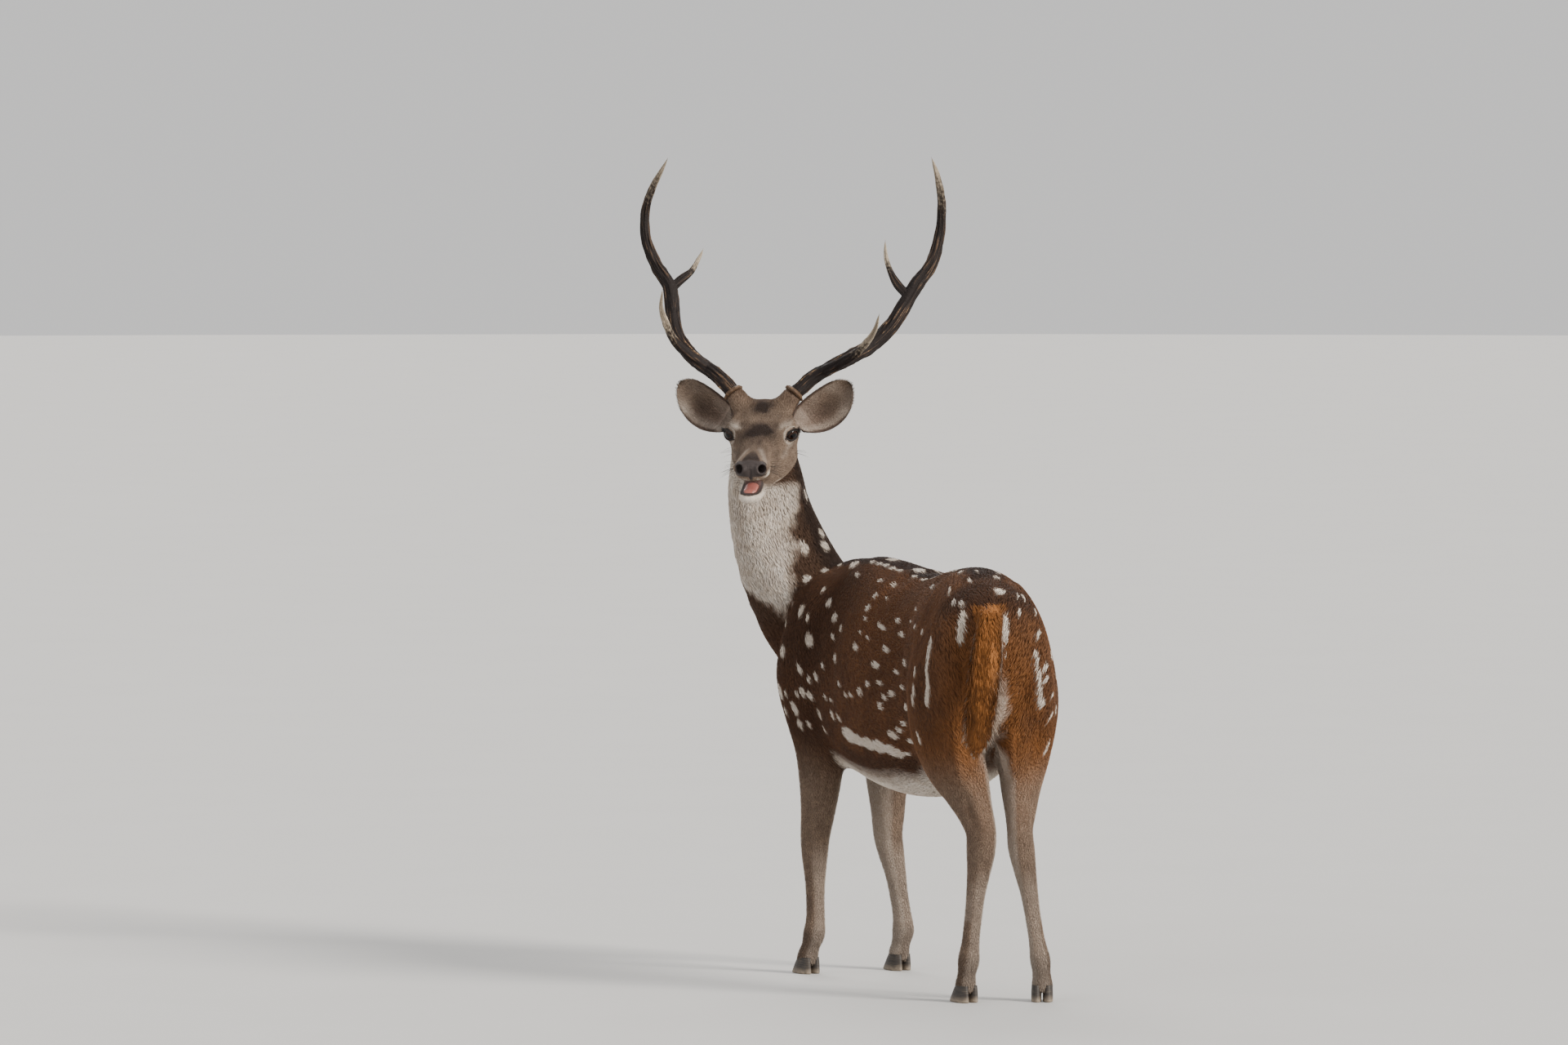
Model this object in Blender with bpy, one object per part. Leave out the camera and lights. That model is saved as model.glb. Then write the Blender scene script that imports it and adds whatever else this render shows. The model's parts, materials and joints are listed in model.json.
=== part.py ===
"""Chital (spotted deer) stag, life size, standing and looking back over its left side.

Metres, +Z up. The body faces -Y with its left side at +X, and the trunk bends to the left.
"""

from math import cos, pi, radians, sin, tau

import bmesh
import bpy
import numpy as np
from mathutils import Matrix, Vector

# Driving sizes
WITHERS_HEIGHT = 0.875
TRUNK_CURL = 0.75  # turn of the spine, radians for each metre along it
GAP = 0.0003  # kept between touching pieces
HEAD_TURN = radians(148)  # heading of the head, from the trunk's own, to the left
HEAD_PITCH = radians(20.5)  # nose below the level
EYE_LEVEL = 1.108
SIZE = WITHERS_HEIGHT / 0.875  # the tables below are for a stag of this height

# Sizes of the head's own pieces
EYE_RADIUS = 0.0175
EYE_PLACE = (0.002, 0.0585, 0.012)  # forward, outward, up from the point between the eyes
BURR_PLACE = (-0.062, 0.0610, 0.0725)
PEDICLE_RADIUS = 0.0225
EAR_LENGTH = 0.142
EAR_WALL = 0.0036

# Resolution of the solids
SKIN_VOXEL = 0.0040
SKIN_TRIANGLES = 6400

COAT = (0.16, 0.085, 0.045)
PALE = (0.62, 0.55, 0.46)
HORN = (0.035, 0.028, 0.024)
ANTLER = (0.11, 0.075, 0.05)
RUSSET = (0.30, 0.12, 0.035)
WET = (0.01, 0.006, 0.004)
FLESH = (0.42, 0.13, 0.10)


UP = np.array([0.0, 0.0, 1.0])


def unit(v):
    return v / np.linalg.norm(v)


# Curves

def resample(rows, count):
    """Rows read evenly along a smooth curve through them; the first three columns are the place."""
    rows = np.asarray(rows, float)
    step = np.linalg.norm(np.diff(rows[:, :3], axis=0), axis=1)
    at = np.concatenate([[0.0], np.cumsum(step)])
    slope = np.gradient(rows, at, axis=0)
    t = np.linspace(0.0, at[-1], count)
    i = np.clip(np.searchsorted(at, t, side="right") - 1, 0, len(at) - 2)
    h = (at[i + 1] - at[i])[:, None]
    u = (t - at[i])[:, None] / h
    return (
        rows[i] * (1 + 2 * u) * (1 - u) ** 2
        + rows[i + 1] * u * u * (3 - 2 * u)
        + slope[i] * h * u * (1 - u) ** 2
        - slope[i + 1] * h * u * u * (1 - u)
    )


def trunk_axes(along):
    """Centre of the spine's plan curve, its heading and its left, at a distance ahead of the middle."""
    turn = TRUNK_CURL * along
    centre = np.array([(1 - cos(turn)) / TRUNK_CURL, -sin(turn) / TRUNK_CURL, 0.0])
    ahead = np.array([sin(turn), -cos(turn), 0.0])
    left = np.array([cos(turn), sin(turn), 0.0])
    return centre, ahead, left


def on_trunk(along, out, height):
    centre, _, left = trunk_axes(along)
    return centre + left * out + np.array([0.0, 0.0, height])


# Shapes

def ring_shape(sides, power):
    angle = np.arange(sides) * tau / sides
    c, s = np.cos(angle), np.sin(angle)
    return np.sign(c) * np.abs(c) ** (2 / power), np.sign(s) * np.abs(s) ** (2 / power)


def loft(rows, rings, sides):
    """A closed tube. Rows: x, y, z, side, front and back half sizes, heading of the left axis, power."""
    rows = resample(rows, rings)
    tangents = np.gradient(rows[:, :3], axis=0)
    points = []
    for row, tangent in zip(rows, tangents):
        tangent = unit(tangent)
        left = np.array([cos(row[6]), sin(row[6]), 0.0])
        left = unit(left - tangent * (left @ tangent))
        front = np.cross(tangent, left)
        c, s = ring_shape(sides, max(row[7], 1.2))
        reach = np.where(s > 0, row[4], row[5]) * s
        points.append(row[:3] + np.outer(c * row[3], left) + np.outer(reach, front))
    return tube_mesh(points)


def tube_mesh(points):
    """Vertices and faces of a run of rings with a fan over each end."""
    count, sides = len(points), len(points[0])
    vertices = np.concatenate([*points, [points[0].mean(0)], [points[-1].mean(0)]])
    faces = []
    for i in range(count - 1):
        for j in range(sides):
            k = (j + 1) % sides
            a, b = i * sides, (i + 1) * sides
            faces.append((a + j, a + k, b + k, b + j))
    first, last = count * sides, count * sides + 1
    end = (count - 1) * sides
    for j in range(sides):
        k = (j + 1) % sides
        faces.append((first, k, j))
        faces.append((last, end + j, end + k))
    return vertices, faces


def make(name, shape, colour=COAT, rough=0.8):
    """A mesh object from vertices and faces, facing out."""
    vertices, faces = shape
    mesh = bpy.data.meshes.new(name)
    mesh.from_pydata([tuple(v) for v in vertices], [], [tuple(f) for f in faces])
    bm = bmesh.new()
    bm.from_mesh(mesh)
    bmesh.ops.recalc_face_normals(bm, faces=bm.faces)
    if bm.calc_volume(signed=True) < 0:
        bmesh.ops.reverse_faces(bm, faces=bm.faces)
    bm.to_mesh(mesh)
    bm.free()
    obj = bpy.data.objects.new(name, mesh)
    bpy.context.scene.collection.objects.link(obj)
    paint(obj, colour, rough)
    return obj


def paint(obj, colour, rough):
    key = "finish_" + "_".join(f"{c:.3f}" for c in (*colour, rough))
    material = bpy.data.materials.get(key) or bpy.data.materials.new(key)
    material.use_nodes = True
    shader = material.node_tree.nodes["Principled BSDF"]
    shader.inputs["Base Color"].default_value = (*colour, 1)
    shader.inputs["Roughness"].default_value = rough
    obj.data.materials.clear()
    obj.data.materials.append(material)


def settle(obj):
    """Applies the object's modifiers."""
    graph = bpy.context.evaluated_depsgraph_get()
    mesh = bpy.data.meshes.new_from_object(obj.evaluated_get(graph))
    old = obj.data
    obj.modifiers.clear()
    obj.data = mesh
    bpy.data.meshes.remove(old)
    return obj


def cut(obj, tool, operation="DIFFERENCE"):
    step = obj.modifiers.new(operation, "BOOLEAN")
    step.operation = operation
    step.object = tool
    step.solver = "MANIFOLD"
    return settle(obj)


def drop(*objects):
    for obj in objects:
        bpy.data.objects.remove(obj)


def copy_of(obj, name):
    twin = obj.copy()
    twin.data = obj.data.copy()
    twin.name = name
    bpy.context.scene.collection.objects.link(twin)
    return twin


def grown(obj, by):
    """A copy of the object, swollen along its normals."""
    room = copy_of(obj, "room")
    step = room.modifiers.new("grow", "DISPLACE")
    step.strength = by
    step.mid_level = 0.0
    return settle(room)


def keep_largest(obj):
    """Leaves only the largest closed surface of the mesh."""
    bm = bmesh.new()
    bm.from_mesh(obj.data)
    bm.verts.ensure_lookup_table()
    seen, islands = set(), []
    for start in bm.verts:
        if start in seen:
            continue
        stack, island = [start], set()
        seen.add(start)
        while stack:
            v = stack.pop()
            island.add(v)
            for e in v.link_edges:
                w = e.other_vert(v)
                if w not in seen:
                    seen.add(w)
                    stack.append(w)
        islands.append(island)
    islands.sort(key=len)
    loose = [v for island in islands[:-1] for v in island]
    bmesh.ops.delete(bm, geom=loose, context="VERTS")
    bm.to_mesh(obj.data)
    bm.free()
    return obj


def fuse(name, shapes, voxel, rounds):
    """One closed surface over several overlapping shapes, lightly smoothed."""
    vertices, faces, shift = [], [], 0
    for v, f in shapes:
        vertices.append(v)
        faces += [tuple(i + shift for i in face) for face in f]
        shift += len(v)
    obj = make(name, (np.concatenate(vertices), faces))
    skin = obj.modifiers.new("skin", "REMESH")
    skin.mode = "VOXEL"
    skin.voxel_size = voxel
    soft = obj.modifiers.new("soften", "SMOOTH")
    soft.factor = 0.5
    soft.iterations = rounds
    return keep_largest(settle(obj))


def weigh(obj, name, weights):
    """A vertex group with the weights, in steps of a twentieth."""
    group = obj.vertex_groups.new(name=name)
    levels = np.round(np.asarray(weights) * 20).astype(int)
    for level in range(1, 21):
        group.add(np.flatnonzero(levels == level).tolist(), level / 20, "REPLACE")
    return name


def near_places(points, places):
    """For each point 1 at a place, fading to 0 over its radius. Places: point, radius."""
    most = np.zeros(len(points))
    for place, radius in places:
        most = np.maximum(most, np.exp(-np.sum((points - place) ** 2, axis=1) / radius**2))
    return most


def soften(obj, places, rounds):
    """Evens out the surface round the places, where one form runs into another."""
    step = obj.modifiers.new("blend", "SMOOTH")
    step.vertex_group = weigh(obj, "blend", near_places(points_of(obj), places))
    step.factor = 0.5
    step.iterations = rounds
    return settle(obj)


def thin_out(obj, triangles, weights):
    """Fewer triangles, spending them where the surface bends and where weights are low."""
    obj.data.calc_loop_triangles()
    step = obj.modifiers.new("thin", "DECIMATE")
    step.ratio = triangles / len(obj.data.loop_triangles)
    step.vertex_group = weigh(obj, "coarse", weights)
    step.vertex_group_factor = 1.0
    return settle(obj)


def points_of(obj):
    co = np.empty(len(obj.data.vertices) * 3)
    obj.data.vertices.foreach_get("co", co)
    return co.reshape(-1, 3)


def set_points(obj, points):
    obj.data.vertices.foreach_set("co", points.ravel())
    obj.data.update()


def block(name, centre, axes, half):
    """A box with its own axes, as a tool."""
    bm = bmesh.new()
    bmesh.ops.create_cube(bm, size=2.0)
    mesh = bpy.data.meshes.new(name)
    bm.to_mesh(mesh)
    bm.free()
    obj = bpy.data.objects.new(name, mesh)
    bpy.context.scene.collection.objects.link(obj)
    turn = Matrix([Vector(a) for a in axes]).transposed().to_4x4()
    size = Matrix.Diagonal((*half, 1.0))
    mesh.transform(Matrix.Translation(Vector(centre)) @ turn @ size)
    if turn.determinant() < 0:
        mesh.flip_normals()
    return obj


def beyond(name, point, normal, reach=0.3):
    """A box whose one face lies at the point, filling the side that the normal points to."""
    normal = unit(np.asarray(normal, float))
    helper = np.array([0.0, 0.0, 1.0]) if abs(normal[2]) < 0.9 else np.array([1.0, 0.0, 0.0])
    a = unit(np.cross(normal, helper))
    b = np.cross(normal, a)
    return block(name, np.asarray(point) + normal * reach, (a, b, normal), (reach, reach, reach))


def prism(name, outline, centre, ahead, left, near, far, inset=0.0):
    """An outline in the plane of ahead and up, extruded along left.

    Near is the inner plane: its distance out at the ground and its lean out for each metre up.
    """
    outline = np.asarray(outline, float)
    if inset:
        outline = shrink(outline, inset)
    inner = near[0] + inset + near[1] * outline[:, 1]
    outer = np.full(len(outline), far - inset)
    rings = []
    for out in (inner, outer):
        rings.append(
            centre + np.outer(out, left) + np.outer(outline[:, 0], ahead) + np.outer(outline[:, 1], UP)
        )
    count = len(outline)
    faces = [tuple(range(count)), tuple(range(count, 2 * count))]
    for i in range(count):
        k = (i + 1) % count
        faces.append((i, k, count + k, count + i))
    return make(name, (np.concatenate(rings), faces))


def shrink(outline, by):
    """The outline with each corner moved inwards, so that every side moves by the same amount."""
    before, after = np.roll(outline, 1, axis=0), np.roll(outline, -1, axis=0)
    area = np.sum(outline[:, 0] * after[:, 1] - after[:, 0] * outline[:, 1])
    first, second = outline - before, after - outline
    first /= np.linalg.norm(first, axis=1)[:, None]
    second /= np.linalg.norm(second, axis=1)[:, None]
    turn = np.sign(area)
    n1 = np.stack([-first[:, 1], first[:, 0]], 1) * turn
    n2 = np.stack([-second[:, 1], second[:, 0]], 1) * turn
    middle = n1 + n2
    middle /= np.linalg.norm(middle, axis=1)[:, None]
    return outline + middle * (by / np.sum(middle * n1, axis=1))[:, None]


# Trunk, neck and legs

# Distance ahead, height of the widest level, half width, reach up and down from there, power
TRUNK = (
    (-0.475, 0.715, 0.030, 0.072, 0.030, 2.0),
    (-0.462, 0.715, 0.060, 0.098, 0.080, 2.0),
    (-0.430, 0.715, 0.095, 0.124, 0.130, 2.0),
    (-0.370, 0.710, 0.118, 0.152, 0.170, 2.0),
    (-0.290, 0.700, 0.130, 0.176, 0.200, 2.0),
    (-0.200, 0.670, 0.138, 0.201, 0.220, 2.0),
    (-0.100, 0.625, 0.158, 0.235, 0.220, 2.1),
    (0.000, 0.595, 0.170, 0.258, 0.210, 2.15),
    (0.100, 0.590, 0.168, 0.265, 0.200, 2.1),
    (0.200, 0.600, 0.152, 0.268, 0.190, 2.0),
    (0.300, 0.620, 0.130, 0.256, 0.190, 1.95),
    (0.370, 0.640, 0.115, 0.225, 0.180, 2.0),
    (0.430, 0.650, 0.095, 0.160, 0.140, 2.0),
    (0.475, 0.655, 0.062, 0.090, 0.085, 2.0),
    (0.492, 0.655, 0.030, 0.040, 0.040, 2.0),
)

# Place, half width, reach to the throat and to the nape, heading in degrees. From the head down
NECK = (
    (0.168, -0.475, 1.128, 0.038, 0.042, 0.028, 142),
    (0.160, -0.489, 1.090, 0.062, 0.072, 0.054, 140),
    (0.152, -0.500, 1.040, 0.074, 0.086, 0.074, 125),
    (0.143, -0.497, 0.960, 0.080, 0.092, 0.086, 100),
    (0.126, -0.478, 0.880, 0.085, 0.102, 0.096, 72),
    (0.102, -0.445, 0.800, 0.088, 0.114, 0.108, 46),
    (0.078, -0.405, 0.730, 0.090, 0.124, 0.125, 27),
    (0.058, -0.362, 0.660, 0.082, 0.105, 0.110, 17),
    (0.040, -0.320, 0.610, 0.050, 0.070, 0.080, 14),
)

# Distance ahead, out from the mid-plane, height, half width, reach forward and back
FORELEG = (
    (0.290, 0.052, 0.825, 0.020, 0.040, 0.040),
    (0.305, 0.070, 0.780, 0.040, 0.080, 0.065),
    (0.335, 0.086, 0.700, 0.050, 0.092, 0.088),
    (0.345, 0.092, 0.620, 0.054, 0.090, 0.095),
    (0.335, 0.086, 0.540, 0.053, 0.075, 0.088),
    (0.328, 0.080, 0.470, 0.048, 0.055, 0.068),
    (0.328, 0.078, 0.400, 0.042, 0.045, 0.049),
    (0.333, 0.080, 0.330, 0.0345, 0.0365, 0.0365),
    (0.338, 0.083, 0.282, 0.0300, 0.0320, 0.0320),
    (0.337, 0.085, 0.245, 0.0265, 0.0285, 0.0295),
    (0.334, 0.087, 0.205, 0.0220, 0.0225, 0.0255),
    (0.332, 0.088, 0.150, 0.0188, 0.0195, 0.0235),
    (0.331, 0.089, 0.110, 0.0192, 0.0200, 0.0255),
    (0.334, 0.090, 0.084, 0.0222, 0.0228, 0.0280),
    (0.345, 0.090, 0.058, 0.0195, 0.0190, 0.0210),
    (0.354, 0.090, 0.036, 0.0225, 0.0230, 0.0220),
    (0.358, 0.090, 0.020, 0.0225, 0.0230, 0.0220),
)

HINDLEG = (
    (-0.290, 0.055, 0.825, 0.025, 0.050, 0.060),
    (-0.310, 0.066, 0.770, 0.044, 0.100, 0.105),
    (-0.325, 0.080, 0.700, 0.055, 0.128, 0.128),
    (-0.320, 0.088, 0.620, 0.064, 0.132, 0.122),
    (-0.308, 0.088, 0.550, 0.062, 0.118, 0.104),
    (-0.315, 0.082, 0.490, 0.054, 0.088, 0.088),
    (-0.345, 0.070, 0.430, 0.041, 0.058, 0.065),
    (-0.380, 0.062, 0.380, 0.0315, 0.040, 0.046),
    (-0.398, 0.058, 0.345, 0.0265, 0.032, 0.045),
    (-0.404, 0.058, 0.312, 0.0260, 0.031, 0.040),
    (-0.402, 0.060, 0.275, 0.0235, 0.0260, 0.0310),
    (-0.396, 0.064, 0.230, 0.0195, 0.0210, 0.0245),
    (-0.386, 0.068, 0.170, 0.0175, 0.0185, 0.0220),
    (-0.378, 0.072, 0.115, 0.0182, 0.0188, 0.0240),
    (-0.375, 0.074, 0.086, 0.0215, 0.0220, 0.0272),
    (-0.366, 0.075, 0.058, 0.0190, 0.0190, 0.0200),
    (-0.358, 0.075, 0.036, 0.0220, 0.0230, 0.0210),
    (-0.354, 0.075, 0.020, 0.0220, 0.0230, 0.0210),
)

# How far each leg is swung from its plain place at the joint in its middle and at the foot:
# height of that joint, then ahead and to the stag's left, at the joint and at the foot
LEG_SWING = {
    "fore_left": (0.28, (0.000, 0.000), (0.000, 0.000)),
    "fore_right": (0.28, (-0.034, 0.000), (-0.066, -0.014)),
    "hind_left": (0.33, (0.000, -0.040), (0.000, -0.034)),
    "hind_right": (0.33, (0.000, -0.005), (-0.010, -0.043)),
}
LEG_TWIST = {"fore_left": 0.0, "fore_right": 0.0, "hind_left": radians(27), "hind_right": radians(-8)}
SWING_FROM = {"fore": 0.62, "hind": 0.70}  # the height where a leg's swing begins
CORONET = 0.034


def ease(t):
    t = min(max(t, 0.0), 1.0)
    return t * t * (3 - 2 * t)


def leg_rows(which):
    """A leg's rows in the model's frame, swung so that the foot lands in its place."""
    pair, hand = which.split("_")
    side = 1 if hand == "left" else -1
    joint, at_joint, at_foot = LEG_SWING[which]
    start = SWING_FROM[pair]
    rows = []
    for ahead, out, height, half, front, back in FORELEG if pair == "fore" else HINDLEG:
        upper = ease((start - height) / (start - joint))
        lower = min(max((joint - height) / joint, 0.0), 1.0)
        ahead_by = at_joint[0] * upper + (at_foot[0] - at_joint[0]) * lower
        left_by = at_joint[1] * upper + (at_foot[1] - at_joint[1]) * lower
        place = on_trunk(ahead + ahead_by, side * out + left_by, height)
        turn = TRUNK_CURL * ahead + LEG_TWIST[which] * upper
        rows.append((*place, half, front, back, turn, 2.1))
    return rows


def leg_axes(which):
    """Ahead and left of a foot."""
    pair = which.split("_")[0]
    turn = TRUNK_CURL * (0.33 if pair == "fore" else -0.36) + LEG_TWIST[which]
    return np.array([sin(turn), -cos(turn), 0.0]), np.array([cos(turn), sin(turn), 0.0])


def trunk_rows():
    rows = []
    for ahead, height, half, up, down, power in TRUNK:
        rows.append((*on_trunk(ahead, 0.0, height), half, up, down, TRUNK_CURL * ahead, power))
    return rows


def neck_rows():
    return [(*row[:6], radians(row[6]), 2.0) for row in NECK]


# Head

HEADING = np.array([sin(HEAD_TURN), -cos(HEAD_TURN), 0.0])
HEAD_LEFT = np.array([cos(HEAD_TURN), sin(HEAD_TURN), 0.0])
FACE = HEADING * cos(HEAD_PITCH) - UP * sin(HEAD_PITCH)
CROWN = HEADING * sin(HEAD_PITCH) + UP * cos(HEAD_PITCH)
BETWEEN_EYES = np.array([0.198, -0.418, EYE_LEVEL])


def on_head(forward, out, up):
    return BETWEEN_EYES + FACE * forward + HEAD_LEFT * out + CROWN * up


# Forward of the eyes, height of the widest level, half width, reach up and down, power
SKULL = (
    (-0.128, -0.010, 0.022, 0.020, 0.030, 2.0),
    (-0.112, -0.008, 0.048, 0.042, 0.055, 2.0),
    (-0.075, -0.008, 0.065, 0.066, 0.070, 2.1),
    (-0.035, -0.008, 0.069, 0.069, 0.074, 2.2),
    (0.000, -0.006, 0.066, 0.057, 0.070, 2.2),
    (0.035, -0.012, 0.057, 0.051, 0.058, 2.1),
    (0.070, -0.016, 0.0460, 0.047, 0.038, 2.0),
    (0.100, -0.014, 0.0385, 0.041, 0.028, 2.0),
    (0.130, -0.008, 0.0360, 0.033, 0.026, 2.1),
    (0.155, -0.003, 0.0365, 0.026, 0.0245, 2.3),
    (0.170, -0.001, 0.0325, 0.021, 0.0230, 2.2),
    (0.178, 0.000, 0.0180, 0.010, 0.0135, 2.0),
)
JAW = (
    (-0.090, -0.044, 0.034, 0.025, 0.025, 2.0),
    (-0.065, -0.048, 0.060, 0.040, 0.040, 2.0),
    (-0.025, -0.052, 0.067, 0.040, 0.044, 2.1),
    (0.015, -0.055, 0.059, 0.036, 0.040, 2.1),
    (0.050, -0.061, 0.043, 0.028, 0.030, 2.0),
    (0.085, -0.067, 0.0320, 0.0130, 0.0210, 2.0),
    (0.118, -0.0705, 0.0280, 0.0110, 0.0175, 2.1),
    (0.142, -0.0710, 0.0245, 0.0100, 0.0160, 2.1),
    (0.157, -0.0675, 0.0180, 0.0085, 0.0125, 2.0),
    (0.164, -0.0645, 0.0090, 0.0040, 0.0060, 2.0),
)
TONGUE = (
    (0.106, -0.0530, 0.0110, 0.0060, 0.0050, 2.0),
    (0.113, -0.0535, 0.0150, 0.0070, 0.0058, 2.2),
    (0.131, -0.0540, 0.0165, 0.0068, 0.0068, 2.3),
    (0.147, -0.0545, 0.0140, 0.0050, 0.0068, 2.2),
    (0.155, -0.0560, 0.0060, 0.0020, 0.0040, 2.0),
)
JAW_ASIDE = -0.010  # of the chin, as in chewing
# Outline of the space that the head takes, level ahead and up from between the eyes
HEAD_SPACE = (
    (-0.106, 0.200), (-0.100, 0.010), (-0.078, -0.070), (-0.045, -0.106), (0.040, -0.114),
    (0.100, -0.150), (0.300, -0.200), (0.300, 0.200),
)


def head_rows(table, aside=0.0):
    """Rows of the skull or, swung aside towards the chin, of the jaw and the tongue."""
    rows = []
    for forward, up, half, above, below, power in table:
        out = aside * min(max((forward - 0.02) / 0.12, 0.0), 1.0)
        rows.append((*on_head(forward, out, up), half, above, below, HEAD_TURN, power))
    return rows


def ball(centre, radii, axes, rings=14, sides=20):
    """An ellipsoid as rings, with its first axis through its poles."""
    points = []
    for i in range(1, rings):
        t = pi * i / rings
        angle = np.arange(sides) * tau / sides
        points.append(
            centre
            - axes[0] * cos(t) * radii[0]
            + np.outer(np.cos(angle) * sin(t) * radii[1], axes[1])
            + np.outer(np.sin(angle) * sin(t) * radii[2], axes[2])
        )
    return tube_mesh(points)


def cone(start, end, first, last, rings=6, sides=14):
    """A round tapered post with softened ends."""
    axis = unit(end - start)
    side = unit(np.cross(axis, [0.3, 0.2, 1.0]))
    other = np.cross(axis, side)
    points = []
    for i in range(rings):
        t = i / (rings - 1)
        radius = first + (last - first) * t
        angle = np.arange(sides) * tau / sides
        spread = np.outer(np.cos(angle), side) + np.outer(np.sin(angle), other)
        points.append(start + (end - start) * t + spread * radius)
    return tube_mesh(points)


def burr_place(side):
    forward, out, up = BURR_PLACE
    return on_head(forward, side * out, up)


def pedicle_axis(side):
    """The way a pedicle points: up, out and a little back."""
    return unit(UP * 0.72 + HEAD_LEFT * side * 0.60 - HEADING * 0.28)


def ear_axes(side):
    """Along the ear, across it, and the way its cup faces."""
    along = unit(HEAD_LEFT * side * 0.785 + UP * 0.605 - HEADING * 0.12)
    facing = unit(HEADING * 0.96 + HEAD_LEFT * side * 0.10 - UP * 0.06)
    facing = unit(facing - along * (facing @ along))
    across = np.cross(facing, along)
    return along, across, facing


def ear_root(side):
    return on_head(-0.052, side * 0.071, 0.012)


def head_shapes():
    shapes = [loft(head_rows(SKULL), 60, 40), loft(head_rows(JAW, JAW_ASIDE), 50, 36)]
    axes = (HEAD_LEFT, FACE, CROWN)
    shapes.append(ball(on_head(0.083, 0.0, -0.050), (0.033, 0.022, 0.012), axes))
    for side in (1, -1):
        forward, out, up = EYE_PLACE
        eye = on_head(forward - 0.007, side * (out - 0.007), up + 0.001)
        shapes.append(ball(eye, (0.0265, 0.0290, 0.0265), axes))
        brow = on_head(forward - 0.014, side * (out - 0.016), up + 0.014)
        shapes.append(ball(brow, (0.029, 0.036, 0.022), axes))
        foot = on_head(BURR_PLACE[0] + 0.014, side * 0.030, 0.026)
        top = burr_place(side) + pedicle_axis(side) * 0.006
        shapes.append(cone(foot, top, PEDICLE_RADIUS * 1.35, PEDICLE_RADIUS))
        root = ear_root(side)
        along = ear_axes(side)[0]
        shapes.append(cone(root - along * 0.040, root + along * 0.012, 0.034, 0.0215))
        wing = on_head(0.160, side * 0.0235, 0.004)
        shapes.append(ball(wing, (0.0135, 0.0135, 0.0140), axes))
        lip = on_head(0.145, side * 0.021, -0.015)
        shapes.append(ball(lip, (0.0165, 0.024, 0.0100), axes))
    return shapes


def swell(points, centre, radius, push):
    """Moves points near a centre by a push that fades away round it."""
    near = np.exp(-np.sum((points - centre) ** 2, axis=1) / radius**2)
    return points + near[:, None] * np.asarray(push)


def model_face(points):
    """Hollows and swellings of the face that the plain forms leave out."""
    for side in (1, -1):
        left = HEAD_LEFT * side
        points = swell(points, on_head(0.045, side * 0.050, 0.004), 0.020, -left * 0.0050)
        points = swell(points, on_head(0.030, side * 0.056, -0.004), 0.009, -left * 0.0030)
        points = swell(points, on_head(-0.075, side * 0.058, -0.012), 0.020, -left * 0.0050)
        points = swell(points, on_head(-0.030, side * 0.060, -0.052), 0.030, left * 0.0040)
        points = swell(points, on_head(0.090, side * 0.034, 0.016), 0.020, -left * 0.0030)
        points = swell(points, on_head(0.085, side * 0.034, -0.030), 0.012, -left * 0.0020)
    points = swell(points, on_head(0.012, 0.0, 0.052), 0.024, -CROWN * 0.0035)
    return points


def cut_eyes(head):
    for side in (1, -1):
        forward, out, up = EYE_PLACE
        eye = on_head(forward, side * out, up)
        axes = (HEAD_LEFT, FACE, CROWN)
        r = EYE_RADIUS + GAP
        socket = make("socket", ball(eye, (r, r, r), axes, 12, 18))
        cut(head, socket)
        gaze = unit(HEAD_LEFT * side * 0.77 + FACE * 0.64)
        slant = unit(FACE * 0.77 - HEAD_LEFT * side * 0.64)
        rows = []
        for reach, wide in ((0.004, 0.60), (0.015, 1.00), (0.040, 1.75)):
            angle = np.arange(18) * tau / 18
            rows.append(
                eye
                + gaze * reach
                + np.outer(np.cos(angle) * 0.0142 * wide, slant)
                + np.outer(np.sin(angle) * 0.0108 * wide, CROWN)
            )
        opening = make("opening", tube_mesh(rows))
        cut(head, opening)
        drop(socket, opening)


def cut_nostrils(head):
    for side in (1, -1):
        place = on_head(0.1715, side * 0.0230, 0.0065)
        inwards = unit(FACE * 0.80 + HEAD_LEFT * side * 0.55)
        across = unit(np.cross(CROWN, inwards))
        upright = np.cross(inwards, across)
        tilt = unit(upright * 0.8 + across * side * 0.45)
        other = np.cross(inwards, tilt)
        hollow = make("nostril", ball(place, (0.015, 0.0090, 0.0062), (inwards, tilt, other), 10, 14))
        cut(head, hollow)
        drop(hollow)


def head_space(inset=0.0):
    near = (-0.16, 0.0)
    return prism("head_space", HEAD_SPACE, BETWEEN_EYES, HEADING, HEAD_LEFT, near, 0.16, inset)


def build_eye(side, name):
    forward, out, up = EYE_PLACE
    eye = on_head(forward, side * out, up)
    r = EYE_RADIUS - 0.0002
    make(name, ball(eye, (r, r, r), (HEAD_LEFT, FACE, CROWN), 10, 16), WET, 0.05)


def build_tongue(head):
    tongue = make("tongue", loft(head_rows(TONGUE, JAW_ASIDE), 10, 12), FLESH, 0.35)
    room = grown(head, GAP * 3)
    cut(tongue, room)
    drop(room)
    keep_largest(tongue)


# Share of the length, half width, depth of the cup
EAR = (
    (0.00, 0.0210, 0.0160),
    (0.10, 0.0310, 0.0200),
    (0.25, 0.0400, 0.0225),
    (0.45, 0.0440, 0.0205),
    (0.65, 0.0415, 0.0160),
    (0.80, 0.0345, 0.0115),
    (0.92, 0.0225, 0.0070),
    (0.98, 0.0115, 0.0040),
    (1.00, 0.0050, 0.0025),
)


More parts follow.
